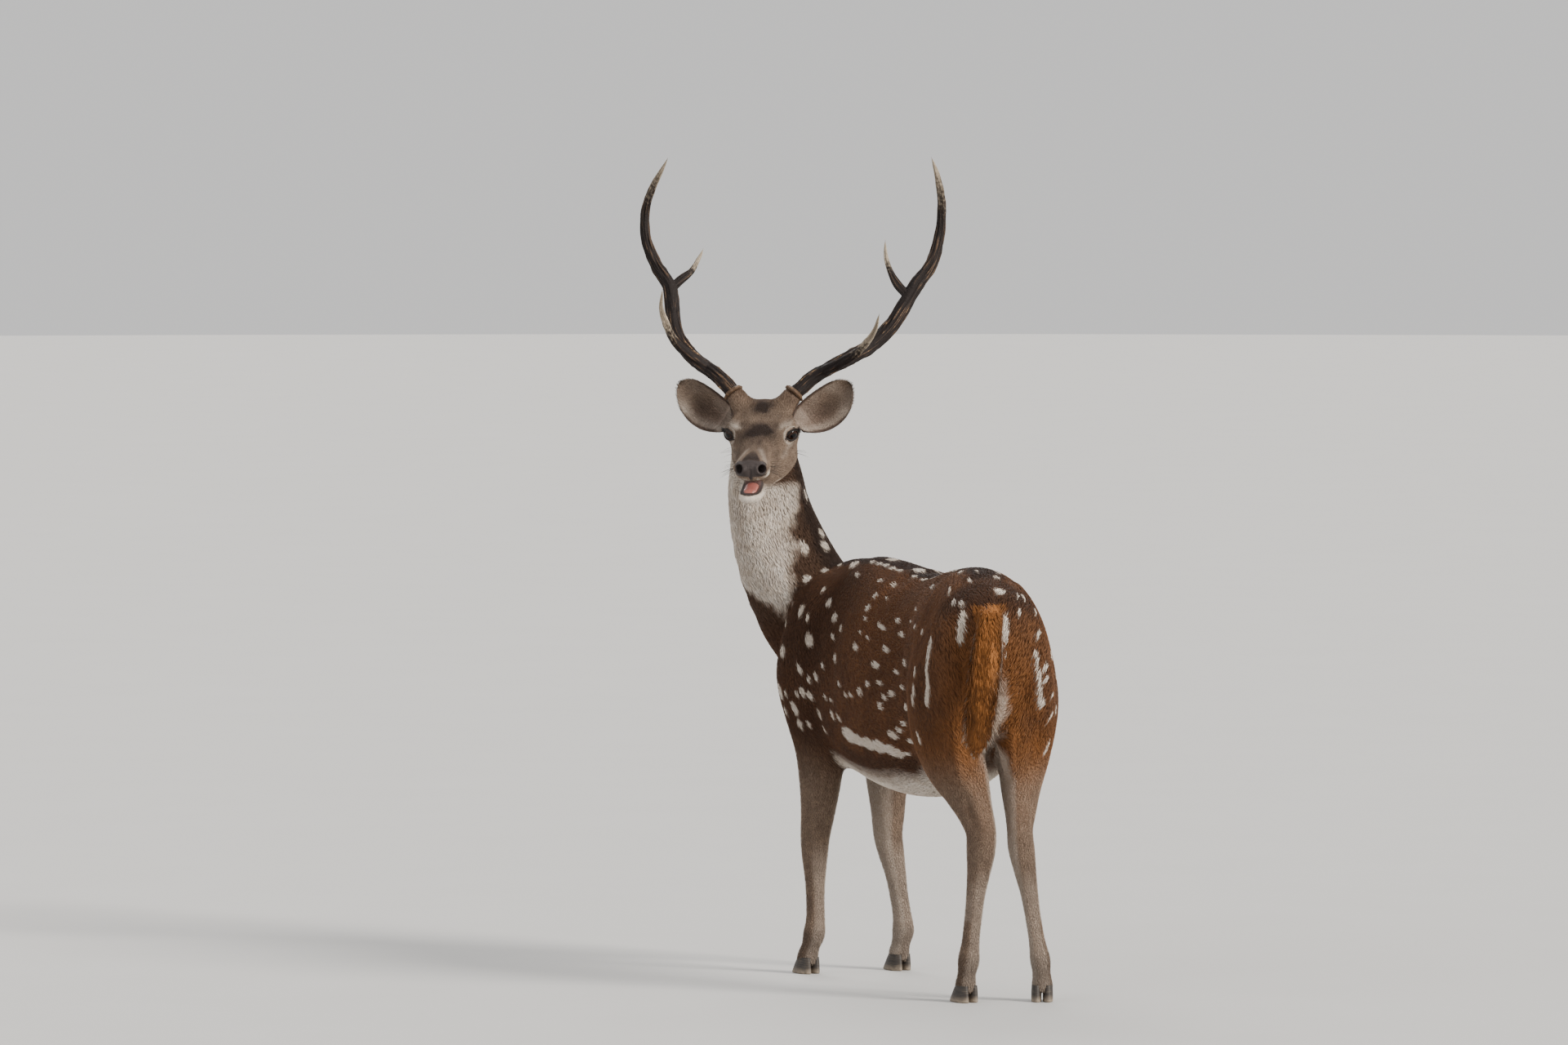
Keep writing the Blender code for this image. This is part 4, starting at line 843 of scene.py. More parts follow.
# Furrows on both sides, and ridges where the depth is below nothing: from, to, width, depth.
# Of the body: distance ahead, out from the mid-plane, height
BODY_FURROWS = scaled(((2050, 1500, 8000, 1650, 1700, 5300, 340, 65),
    (3750, 1100, 8000, 4400, 1000, 6200, 260, 60), (3000, 1500, 8000, 3400, 1500, 6200, 180, -40),
    (2500, 1500, 6000, 2700, 1300, 5000, 220, 50), (-1750, 1400, 8400, -1300, 1600, 5200, 400, 70),
    (-2050, 1500, 5500, -1400, 1000, 4400, 240, 60), (-3000, 1500, 8000, -2700, 1600, 6000, 300, -40),
    (-4000, 1200, 7400, -3700, 1400, 5200, 220, 40), (-1700, 300, 9000, -2000, 1200, 8200, 220, -40)),
    10000)
# Of the legs: height of a row, share of its half width outwards and of its reach forwards
LEG_FURROWS = {"hind": scaled(((4300, 9000, -5500, 3450, 9000, -7000, 120, 60),
    (2300, 9500, -2500, 1150, 9500, -2500, 55, 22), (3450, 9000, 1000, 2750, 9000, 2000, 100, -20)), 10000),
    "fore": scaled(((2050, 9500, -2500, 1100, 9500, -2500, 55, 22),
    (3300, 9000, -3000, 2450, 9000, -3000, 80, 20), (4700, 9000, -1000, 3300, 9000, -2000, 120, 30)),
    10000)}
# Of the face: forward, out, up
FACE_FURROWS = scaled(((300, 500, -60, 440, 430, -200, 30, 46), (600, 440, 100, 1300, 320, -60, 90, 22),
    (200, 620, -260, 750, 360, -240, 60, -16), (-600, 680, -300, -300, 640, -800, 80, 22),
    (-100, 580, 340, 200, 500, 300, 70, -22), (1500, 340, 180, 1680, 320, -80, 30, 18),
    (1720, 300, 140, 1660, 370, -20, 40, -16), (1780, 160, 140, 1800, 130, -40, 35, -12),
    (1710, 120, 140, 1760, 100, -60, 30, -10), (1000, 360, -340, 1500, 300, -240, 30, 16)), 10000)


def on_side(side, rows, placed):
    """The furrows of a table on one side."""
    return [(placed(row[0], side * row[1], row[2]), placed(row[3], side * row[4], row[5]), *row[6:])
        for row in rows]


def body_furrows():
    lines = []
    for side in (1, -1):
        lines += on_side(side, BODY_FURROWS, on_trunk)
        for rib in range(7):
            ahead = 0.135 - 0.036 * rib
            top, foot = on_trunk(ahead, side * 0.16, 0.74), on_trunk(ahead - 0.035, side * 0.17, 0.5)
            lines.append((top, foot, 0.011, 0.0012))
    for fold in range(4):
        start = on_trunk(-0.06 - 0.04 * fold, 0.15, 0.75 - 0.012 * fold)
        end = on_trunk(-0.085 - 0.025 * fold, 0.17, 0.58 + 0.02 * fold)
        lines.append((start, end, 0.013, 0.0036))
    for fold in range(4):
        start = np.array([0.235 - 0.03 * fold, -0.385 - 0.03 * (fold % 2), 0.925 - 0.052 * fold])
        end = np.array([0.16 - 0.012 * fold, -0.58, 0.862 - 0.046 * fold])
        lines.append((start, end, 0.012 + 0.002 * (fold % 2), 0.0028))
    return lines


def leg_furrows():
    lines = []
    for which in LEG_SWING:
        rows = {round(row[2], 3): np.asarray(row) for row in leg_rows(which)}
        ahead, left = leg_axes(which)

        def placed(height, out, front):
            row = rows[height]
            return row[:3] + left * row[3] * out + ahead * row[4] * front

        for side in (1, -1):
            lines += on_side(side, LEG_FURROWS[which[:4]], placed)
    return lines


def face_furrows():
    groove = (on_head(0.178, 0.0, 0.006), on_head(0.17, 0.0, -0.022), 0.0024, 0.0026)
    return [*on_side(1, FACE_FURROWS, on_head), *on_side(-1, FACE_FURROWS, on_head), groove]


def furrowed(points, normals, tree, lines):
    """The surface pressed in along each line, or raised where its depth is below nothing."""
    t = np.linspace(0.0, 1.0, 41)
    for start, end, width, depth in lines:
        line = np.asarray(start) + np.outer(t, np.asarray(end) - start)
        line = np.array([tree.find_nearest(Vector(p))[0] for p in line])
        inside = np.all((points > line.min(0) - 3 * width) & (points < line.max(0) + 3 * width), axis=1)
        near = np.flatnonzero(inside)
        gap = np.sum((points[near, None] - line[None]) ** 2, axis=2)
        fade = np.sin(pi * (0.05 + 0.9 * t[gap.argmin(1)]))
        push = depth * fade * np.exp(-gap.min(1) / width**2)
        points[near] -= normals[near] * push[:, None]
    return points


# Hollows and swellings on both sides of the face: forward, out, up, radius, push outwards, forward and up
SWELLS = scaled(((450, 500, 40, 200, -50, 0, 0), (-750, 580, -120, 200, -50, 0, 0),
    (-300, 600, -520, 300, 40, 0, 0), (900, 340, 160, 200, -30, 0, 0), (850, 340, -300, 120, -20, 0, 0),
    (1680, 290, 80, 80, 20, 10, 0), (-520, 200, 620, 160, 0, 0, 30)), 10000)


def modelled_face(points):
    """Hollows and swellings of the face that the plain forms leave out."""
    for side in (1, -1):
        left = HEAD_LEFT * side
        for forward, out, up, radius, outwards, ahead, above in SWELLS:
            push = left * outwards + FACE * ahead + CROWN * above
            points = swell(points, on_head(forward, side * out, up), radius, push)
        wing = lengths(points - on_head(0.172, side * 0.023, 0.0045))
        points = points + np.outer(0.0024 * hump(wing, 0.011, 0.0028), FACE + left * 0.4)
    return swell(points, on_head(0.012, 0.0, 0.052), 0.024, -CROWN * 0.0035)


def eye_gaze(side):
    """Centre of an eye, the way it looks, and the level line across its opening."""
    forward, out, up = EYE_PLACE
    gaze = unit(HEAD_LEFT * side * 0.67 + FACE * 0.74)
    return on_head(forward, side * out, up), gaze, unit(FACE * 0.67 - HEAD_LEFT * side * 0.74)


def lid_line(side, reach, count, radius):
    """The rim of an eye's opening on a ball round the eye: an almond with a longer inner corner."""
    eye, gaze, slant = eye_gaze(side)
    c, s = circle(count)
    rise = np.where(s > 0, 0.0122, 0.0098) * np.abs(s) ** 0.9 * np.sign(s) - 0.0018 * c
    corner = 1 + 0.16 * np.clip(c, 0, 1) ** 6
    way = gaze * reach + np.outer(c * 0.0184 * corner, slant) + np.outer(rise, CROWN)
    way /= lengths(way)[:, None]
    return eye + way * radius


def lid_gap(points, side):
    """How far points are outside the rim of an eye's opening; below nothing inside it."""
    eye, gaze, _ = eye_gaze(side)
    line = lid_line(side, LID_REACH, 72, EYE_RADIUS)
    gap = np.full(len(points), 0.1)
    away = points - eye
    near = np.flatnonzero((lengths(away) < 0.045) & (away @ gaze > 0))
    far = np.linalg.norm(points[near, None] - line[None], axis=2)
    way = away[near] / lengths(away[near])[:, None]
    rim = (line - eye) / EYE_RADIUS
    inside = way @ gaze > (rim @ gaze)[far.argmin(1)]
    gap[near] = np.where(inside, -1.0, 1.0) * far.min(1)
    return gap


def over_eyes(points):
    """The lids: skin drawn over the eyeball, with a rim, a crease above it and a fold below."""
    for side in (1, -1):
        eye, gaze, _ = eye_gaze(side)
        away = points - eye
        far = lengths(away)
        gap = lid_gap(points, side)
        over = EYE_RADIUS + 0.0013 + 0.0007 * hump(gap, 0.0022, 0.0018)
        near = (far < over + 0.004) & (away @ gaze > -0.004)
        lifted = most(far, over)
        upper = step(away @ CROWN, -0.002, 0.004)
        crease = 0.0019 * upper * hump(gap, 0.0062, 0.0015)
        crease += 0.0012 * (1 - upper) * hump(gap, 0.0055, 0.0015)
        moved = np.where(near, lifted, far) - crease * (away @ gaze > 0.002)
        points = np.where((gap < 0.02)[:, None] | near[:, None], eye + away * (moved / far)[:, None],
            points)
    return points


def open_eyes(skin):
    for side in (1, -1):
        eye, gaze, _ = eye_gaze(side)
        r = EYE_RADIUS + 0.0002
        boolean(skin, make("socket", ball(eye, (r, r, r), (HEAD_LEFT, FACE, CROWN), 24, 36)), "DIFFERENCE")
        rim = lid_line(side, LID_REACH, 56, EYE_RADIUS)
        rows = [eye + (rim - eye) * k + gaze * 0.0002 for k in (0.35, 1.0, 1.9, 2.6)]
        boolean(skin, make("opening", tube_mesh(rows)), "DIFFERENCE")


def open_nostrils(skin):
    for side in (1, -1):
        place = on_head(0.1715, side * 0.023, 0.0045)
        inwards = unit(FACE * 0.8 + HEAD_LEFT * side * 0.55)
        across = unit(np.cross(CROWN, inwards))
        upright = np.cross(inwards, across)
        tilt = unit(upright * 0.8 + across * side * 0.45)
        other = np.cross(inwards, tilt)
        boolean(skin, make("hole", ball(place, (0.016, 0.0094, 0.0078), (inwards, tilt, other), 16, 24)),
            "DIFFERENCE")


def build_flesh(sizes):
    """The whole skin as one closed surface, with ears, eye openings, nostrils and folds."""
    shapes = [*body_shapes(), loft(slim(tail_rows(), 0.98), 60, 20)]
    skin = fused("skin", shapes, sizes.skin_voxel, 7)
    soften(skin, blend_places(), 60)
    head_places = [(on_head(0.0, 0.0, -0.01), 0.11), (on_head(0.11, 0.0, -0.03), 0.085)]
    refined(skin, head_places, 0.4)
    soften(skin, [(on_head(0.03, 0.0, 0.0), 0.1)], 3)
    set_points(skin, modelled_face(points_of(skin)))
    lines = middle_lines()
    points, normals = points_of(skin), normals_of(skin)
    at = Survey(points, normals, lines)
    points = points - normals * coat_depth(at)[:, None]
    tree = tree_of(skin)
    set_points(skin, furrowed(points, normals, tree, body_furrows() + leg_furrows() + face_furrows()))
    set_points(skin, over_eyes(points_of(skin)))
    for side in (1, -1):
        boolean(skin, make("ear", ear_shape(side)), "UNION")
    roots = [(ear_root(side) + ear_axes(side)[0] * 0.012, 0.028) for side in (1, -1)]
    soften(skin, roots, 18)
    open_eyes(skin)
    open_nostrils(skin)
    return keep_largest(skin)


# Markings

# Spots and streaks that the near side shows: picture place, half length and half width in mm
SPOTS = ((957, 850, 17, 7), (959, 801, 12, 8), (964, 765, 16, 3), (964, 874, 12, 3), (974, 870, 15, 5),
    (977, 853, 7, 3), (980, 822, 11, 4), (981, 751, 14, 6), (981, 890, 10, 5), (984, 674, 16, 8),
    (984, 851, 10, 5), (989, 606, 14, 4), (989, 759, 7, 3), (990, 712, 15, 7), (992, 787, 14, 7),
    (992, 835, 7, 5), (992, 890, 7, 3), (994, 855, 10, 5), (1001, 832, 10, 5), (1006, 878, 12, 5),
    (1006, 656, 9, 7), (1007, 725, 5, 3), (1009, 818, 7, 3), (1011, 672, 11, 8), (1012, 701, 19, 5),
    (1012, 897, 9, 3), (1015, 741, 8, 6), (1021, 878, 14, 4), (1023, 759, 9, 8), (1024, 809, 11, 6),
    (1029, 882, 12, 3), (1029, 840, 9, 3), (1031, 675, 9, 4), (1031, 771, 9, 5), (1037, 853, 7, 3),
    (1043, 853, 8, 3), (1046, 693, 12, 9), (1049, 794, 11, 5), (1051, 705, 9, 4), (1054, 849, 9, 6),
    (1055, 776, 6, 2), (1061, 759, 9, 3), (1064, 746, 9, 6), (1064, 783, 7, 2), (1064, 840, 8, 4),
    (1067, 682, 11, 8), (1073, 731, 7, 5), (1074, 816, 12, 5), (1079, 838, 11, 3), (1080, 712, 7, 5),
    (1080, 866, 8, 6), (1081, 769, 19, 3), (1085, 856, 9, 4), (1087, 734, 6, 2), (1087, 797, 12, 4),
    (1094, 851, 11, 5), (1096, 687, 12, 10), (1096, 718, 6, 5), (1096, 902, 15, 6), (1099, 824, 12, 3),
    (1101, 761, 11, 4), (1104, 896, 10, 4), (1106, 778, 12, 4), (1106, 679, 12, 3), (1107, 844, 9, 3),
    (1109, 813, 12, 5), (1109, 887, 10, 4), (1112, 868, 10, 5), (1113, 924, 11, 3), (1117, 762, 9, 2),
    (1117, 909, 12, 4), (1119, 861, 12, 5), (1120, 849, 12, 5), (1121, 826, 10, 4), (1122, 769, 7, 4),
    (1123, 747, 12, 2), (1127, 907, 13, 4), (1127, 700, 13, 9), (1130, 777, 6, 4), (1143, 720, 9, 5),
    (1163, 726, 12, 3), (1169, 740, 7, 5), (1180, 742, 9, 5), (1188, 712, 12, 3), (1197, 701, 11, 2),
    (1221, 709, 8, 5), (1223, 727, 11, 7), (1246, 732, 12, 2), (1247, 754, 8, 4), (1253, 734, 8, 5),
    (1267, 730, 11, 2), (1270, 781, 12, 4), (1272, 749, 8, 3), (1274, 869, 11, 2), (1278, 823, 12, 4),
    (1278, 838, 12, 3), (1281, 919, 16, 3), (1282, 887, 16, 2), (1287, 806, 9, 5), (1287, 856, 11, 2),
    (1287, 878, 9, 2), (1296, 870, 8, 4))
# White lines in the picture: places along each, and half width in mm
STREAKS = ((((1036, 899), (1052, 908), (1070, 914), (1090, 919), (1106, 925)), 9),
    (((1141, 789), (1138, 806), (1136, 824), (1138, 845), (1136, 866)), 5),
    (((1265, 805), (1268, 828), (1270, 850), (1272, 874)), 1.4),
    (((1184, 757), (1180, 772), (1177, 790)), 5), (((1225, 760), (1228, 776), (1226, 796), (1225, 812)), 6))
# The pale bib on the throat: height, heading of its middle and half width in degrees
BIB = ((1.2, 148, 95), (1.02, 148, 78), (0.97, 147, 60), (0.9, 125, 50), (0.84, 109, 43), (0.79, 110, 29),
    (0.75, 114, 9), (0.72, 114, 0))
# Marks of the face on both sides: strength, then forward, out and up, and the radii along the same
DARK_MARKS = scaled(((13000, 440, 0, 350, 320, 460, 400), (13000, -400, 0, 580, 340, 280, 500),
    (8000, 180, 320, 450, 160, 160, 500), (5500, -100, 360, 550, 220, 120, 500),
    (8000, 800, 80, 340, 360, 140, 500), (4500, -300, 640, -800, 400, 200, 280),
    (5500, 700, 400, -100, 300, 120, 200), (11000, 380, 460, -140, 110, 100, 45),
    (6000, 1550, 360, -20, 100, 100, 100)), 10000)
PALE_MARKS = scaled(((7500, 40, 520, 330, 200, 140, 60), (3000, 180, 620, -100, 200, 140, 60),
    (2600, 340, 480, -200, 220, 140, 120), (6000, 1680, 140, -200, 120, 60, 40),
    (9500, 1580, 340, -130, 160, 120, 80), (9500, 1500, 80, -830, 300, 300, 100),
    (7500, 1200, 300, -740, 300, 120, 120), (3500, -600, 700, -300, 200, 200, 200)), 10000)
VIEW_AZIMUTH = radians(155)
VIEW_BACK = np.array([sin(VIEW_AZIMUTH), -cos(VIEW_AZIMUTH), 0.0])
VIEW_RIGHT = np.array([cos(VIEW_AZIMUTH), sin(VIEW_AZIMUTH), 0.0])
VIEW_FROM = VIEW_BACK * 20.0 + UP * 2.0
VIEW_FOCUS = 12000.0  # in picture points
VIEW_SIZE = (1920, 1280)  # of the picture
VIEW_SENSOR = 36.0  # width of the camera's sensor in mm
VIEW_MIDDLE = (1143.0, 9.0)


def sight(x, y):
    """The way from the camera towards a place in the picture."""
    across, down = (x - VIEW_MIDDLE[0]) / VIEW_FOCUS, (y - VIEW_MIDDLE[1]) / VIEW_FOCUS
    return unit(-VIEW_BACK + VIEW_RIGHT * across - UP * down)


def struck(tree, start, aim):
    """Where a line from one place towards another meets the skin."""
    hit = tree.ray_cast(Vector(start), Vector(unit(np.asarray(aim) - start)))[0]
    return None if hit is None else np.asarray(hit)


def seen_places(tree):
    """Spots and streaks that the near side shows: place, half length, half width, and if it is mirrored."""
    marks = [(x, y, long / 1000, wide / 1000, x < 1150) for x, y, long, wide in SPOTS]
    for path, wide in STREAKS:
        for (x0, y0), (x1, y1) in zip(path, path[1:]):
            for t in np.linspace(0.0, 1.0, 8)[:-1]:
                x, y = x0 + (x1 - x0) * t, y0 + (y1 - y0) * t
                ragged = 1 + 0.7 * noise.noise(Vector((x, y, 0)) * 0.11)
                marks.append((x, y, 0.01, wide * ragged / 1000, x0 < 1150))
    for x, y, long, wide, twice in marks:
        long, wide = max(long * 1.12, 0.008), max(wide * 1.35 + 0.0008, 0.0034)
        hit = struck(tree, VIEW_FROM, VIEW_FROM + sight(x, y))
        if hit is None:
            hit = struck(tree, VIEW_FROM, VIEW_FROM + sight(x - 4, y + 3))
        if hit is not None and (hit - VIEW_FROM) @ -VIEW_BACK < 21:
            yield hit, long, wide, twice


def spot_places(tree):
    """All white spots with half length and half width: seen ones, mirrored ones, and rows along the back."""
    spots = [spot for spot in seen_places(tree)]
    kept = [spot[:3] for spot in spots]
    for place, long, wide, twice in spots:
        ahead, out, height = (value[0] for value in plan(place[None]))
        if twice and out > 0.02 and -0.38 < ahead < 0.34:
            inside = on_trunk(ahead, 0.0, height * 0.9 + 0.06)
            kept.append((struck(tree, inside, on_trunk(ahead, -out, height)), long, max(wide, 0.004)))
    rng = np.random.default_rng(5)
    extra = []
    for number in range(25):
        for side in (1, -1):
            ahead, out = -0.345 + 0.03 * number + rng.normal(0, 0.003), side * rng.normal(0.034, 0.002)
            extra.append((struck(tree, on_trunk(ahead, out, 1.0), on_trunk(ahead, out, 0.5)), 0.011,
                0.0065))
    for number in range(90):
        side, ahead, height = -1 if number % 3 else 1, rng.uniform(-0.4, 0.42), rng.uniform(0.5, 0.79)
        aim = on_trunk(ahead, side * 0.16, height)
        size = rng.uniform(0.007, 0.012), rng.uniform(0.004, 0.006)
        if side == -1 or ahead > 0.16:
            extra.append((struck(tree, on_trunk(ahead, 0.0, 0.66), aim), *size))
    kept = [spot for spot in kept if spot[0] is not None]
    for place, long, wide in extra:
        if place is not None and min(np.linalg.norm(place - other[0]) for other in kept) > 0.026:
            kept.append((place, long, wide))
    return kept


def spotted(at, way, spots):
    """1 inside a white spot, 0 outside: spots are drawn out along the lie of the hair."""
    white = np.zeros(len(at.points))
    for place, long, wide in spots:
        away = at.points - place
        near = np.flatnonzero(np.abs(away).max(1) < long * 1.5)
        away = away[near]
        along = dots(away, way[near])
        across2 = most(dots(away, away) - along**2, 0)
        far = np.sqrt((along / long) ** 2 + across2 / wide**2)
        white[near] = most(white[near], step(far, 1.15, 0.8))
    return white


def patchy(points, scale, seed=0.0):
    """Smooth variation over the body, about -1 to 1."""
    shift = np.array([seed * 7.3, seed * 3.1, seed * 5.7])
    return np.array([noise.noise(place) for place in (points * scale + shift).tolist()]) * 1.6


def around(at, forward, out, up, radii):
    """1 at a place on the face, fading over the radii; out counts from the mid-plane on both sides."""
    d = ((at.forward + at.stray - forward) / radii[0]) ** 2 + ((at.up - up) / radii[2]) ** 2
    return np.exp(-d - ((np.abs(at.aside + at.stray * 0.8) - out) / radii[1]) ** 2)


def marked(at, rows):
    return [row[0] * around(at, *row[1:4], row[4:]) for row in rows]


def bib(at):
    table = np.asarray(BIB, float)[::-1]
    line, k = at.lines["neck"], at.sample["neck"]
    away = at.points - line.places[k]
    heading = np.degrees(np.arctan2(away[:, 0], -away[:, 1]))
    middle = np.interp(at.height, table[:, 0], table[:, 1])
    half = np.interp(at.height, table[:, 0], table[:, 2])
    off = np.abs((heading - middle + 180) % 360 - 180)
    neck = step(at.share["neck"] + at.share["head"] + at.share["jaw"], 0.25, 0.45)
    edge = 8 * patchy(at.points, 22, 3) + 4 * patchy(at.points, 70, 7)
    return step(off + edge, half + 13, half - 9) * neck * step(at.height, 0.71, 0.75) * (1 - at.ear)


def markings(at, way, spots):
    """Shares of white, dark, rust and grey in the coat, and where the skin is bare, pink or wet, and the inside
    of the ears; the dark share holds painted shade deep in the mouth and in the ear cups.
    """
    n = at.normals
    size = len(at.points)
    ahead, out, height = at.ahead, np.abs(at.out), at.height
    rough = patchy(at.points, 30, 1)
    broad = patchy(at.points, 7, 2)
    body = 1 - at.face
    trunk = at.share["trunk"] * body
    legs = np.clip(at.fore + at.hind, 0, 1)
    lower = legs * step(height, 0.52, 0.4)

    frayed = 0.6 * rough + 0.4 * patchy(at.points, 75, 6)
    spine = step(out + 0.013 * frayed, 0.062, 0.022) * step(height, 0.72, 0.8) * body
    spine *= 1 - 0.45 * step(ahead, -0.34, -0.42)
    nape_line, k = at.lines["neck"], at.sample["neck"]
    nape = -dots(nape_line.front[k], n)
    nape = step(nape + 0.22 * frayed, 0.55, 1.0) * step(at.share["neck"], 0.06, 0.3) * 0.7
    nape *= 1 - step(height, 0.98, 0.86) * step(out, 0.05, 0.11)
    band = trunk * step(height + 0.012 * rough, 0.5, 0.47) * step(height, 0.425, 0.445)
    band *= step(ahead, -0.25, -0.15) * step(ahead, 0.32, 0.2)
    shoulder = (0.16 + 0.42 * step(ahead, -0.02, 0.3)) * (1 - at.hind) * body * (1 - lower)
    saddle = 0.35 * step(height, 0.74, 0.84) * step(out, 0.12, 0.05) * trunk
    croup = 0.75 * step(ahead, -0.33, -0.41) * step(height, 0.74, 0.81) * (1 - at.tail)
    haunch = 0.3 * at.hind * step(out, 0.075, 0.115) * step(height, 0.45, 0.55)
    dark = most(0.93 * spine, nape, 0.55 * band, shoulder + 0.12 * broad * body, saddle, croup, haunch)

    pale_under = trunk * step(n[:, 2], -0.55, -0.9) * step(ahead, 0.44, 0.34)
    inner = np.zeros(size)
    rear = np.zeros(size)
    for which in LEG_SWING:
        share = step(at.share[which], 0.45, 0.75)
        inner = most(inner, share * step(at.inner(which), 0.15, 0.75) * step(height, 0.66, 0.52))
        rear = most(rear, share * step(at.rear(which), -0.2, -0.75))
    groin = step(out + 0.01 * rough, 0.034, 0.01) * step(height, 0.44, 0.52) * step(height, 0.7, 0.6)
    groin = groin * step(ahead, -0.2, -0.3)
    white = most(pale_under, (0.62 - 0.25 * lower) * inner, 0.55 * groin)

    thigh = step(ahead, -0.36, -0.44) * step(height, 0.28, 0.4) * step(height, 0.8, 0.68)
    thigh *= step(out + 0.015 * rough, 0.115, 0.04) * (0.85 - 0.3 * step(height, 0.56, 0.68))
    rust = most(0.9 * thigh, 0.12 * trunk * step(height, 0.62, 0.8))
    rust = most(rust, 0.35 * inner * (1 - lower))
    rust = most(rust, at.hind * step(height, 0.3, 0.4) * step(height, 0.62, 0.5) * (0.3 + 0.45 * rear))
    grey = most(0.75 * lower, 0.25 * step(at.share["neck"], 0.4, 0.8))
    white = most(white, 0.22 * lower * step(height, 0.3, 0.22) * rear)
    dark = most(dark, 0.45 * lower * step(height, 0.105, 0.08))
    hock = at.hind * step(height + 0.03 * rough, 0.27, 0.2) * step(height + 0.03 * rough, 0.15, 0.19)
    white = most(white, 0.24 * hock * (1 - step(rear, 0.2, 0.6)))

    tail_line, k = at.lines["tail"], at.sample["tail"]
    under = dots(tail_line.front[k], n)
    off = np.abs(dots(at.points - tail_line.places[k], tail_line.left[k]))
    rust = most(rust * (1 - at.tail), at.tail)
    edge = most(step(off + 0.006 * rough, 0.008, 0.024), 0.6 * step(height + 0.02 * rough, 0.55, 0.5))
    dark = mixed(dark, 0.08 + 0.1 * rough + 0.4 * edge, at.tail)
    tail_white = at.tail * step(under, 0.1, 0.6)
    white = white * (1 - at.tail) + tail_white

    spots_white = spotted(at, way, spots) * (1 - at.tail)
    white = most(white, spots_white)
    dark *= 1 - spots_white
    throat = bib(at) * (1 - step(height + 0.25 * at.aside, 1.0, 1.03) * step(at.aside, -0.03, 0.01))
    white = most(white * (1 - throat), throat * (0.86 + 0.16 * patchy(at.points, 45, 9)))
    dark *= 1 - throat

    face = at.face
    at.stray = 0.0065 * patchy(at.points, 60, 8) + 0.003 * patchy(at.points, 170, 9)
    crown = step(at.forward, -0.02, -0.1) * step(at.up, -0.03, 0.01)
    ahead_of = np.clip(at.forward - 0.1, 0, 0.1)
    bridge = 1.2 * step(at.forward, 0.1, 0.15)
    bridge *= step(np.abs(at.aside), 0.002 + 0.36 * ahead_of, -0.006 + 0.34 * ahead_of)
    bridge *= step(at.up, 0.0, 0.01)
    dark_face = most(*marked(at, DARK_MARKS), 0.17 + 0.12 * rough, np.clip(bridge, 0, 1))
    eye_gap = np.minimum(lid_gap(at.points, 1), lid_gap(at.points, -1))
    eye_ring = hump(eye_gap, 0.0075, 0.003) * step(at.forward, -0.022, 0.0)
    stripe = np.exp(-((np.abs(at.aside) - 0.012 - 0.35 * np.clip(at.forward - 0.105, 0, 0.1)) / 0.006) ** 2)
    stripe *= step(at.forward, 0.095, 0.115) * step(at.forward, 0.168, 0.155) * step(at.up, 0.004, 0.012)
    chin = 0.8 * step(n @ CROWN, -0.5, -0.85) * step(np.abs(at.aside), 0.055, 0.035)
    chin *= step(at.up, -0.03, -0.05)
    white_face = most(*marked(at, PALE_MARKS), 0.55 * eye_ring, 0.26 * stripe, chin)
    dark_face *= 1 - white_face * (at.up < 0)
    white = mixed(white, np.clip(white_face + 0.05 * rough, 0, 1), face)
    white = most(white, 0.9 * throat * face * step(at.up, -0.045, -0.065))
    dark_face = mixed(dark_face, 0.35 + 0.5 * step(np.abs(at.aside), 0.05, 0.01), crown)
    dark = mixed(dark, np.clip(dark_face * (0.9 + 0.2 * rough), 0, 1), face)
    grey = mixed(grey, 0.85 - 0.6 * crown, face)
    rust = mixed(rust, 0.12, face)

    ear_in = ear_inside(at)
    along, upward = ear_plan(at)
    rim = step(most(np.abs(upward), (along - 0.5) * 2), 0.8, 0.94)
    core = np.exp(-((along - 0.5) / 0.2) ** 2 - ((upward + 0.05) / 0.35) ** 2)
    low_edge = step(upward, -0.35, -0.75) * step(along, 0.95, 0.6)
    pale = 0.1 + 0.22 * low_edge + 0.16 * step(along, 0.3, 0.1) - 0.2 * core + 0.08 * rough
    inside = ear_in * np.clip(pale, 0, 1)
    white = mixed(white, inside + (1 - ear_in) * 0.25 * step(along, 0.35, 0.1), at.ear)
    # Inside the cup the dark deepens towards its core, painted shade in the hollow; on the back the ear darkens
    # towards its tip.
    shade = ear_in * (0.38 * core + 0.3) + (1 - ear_in) * (0.34 + 0.3 * step(along, 0.55, 0.95))
    dark = mixed(dark, np.clip(most(shade, 0.85 * rim), 0, 1), at.ear)
    white *= 1 - 0.8 * rim * at.ear
    grey = most(grey, 0.85 * at.ear)

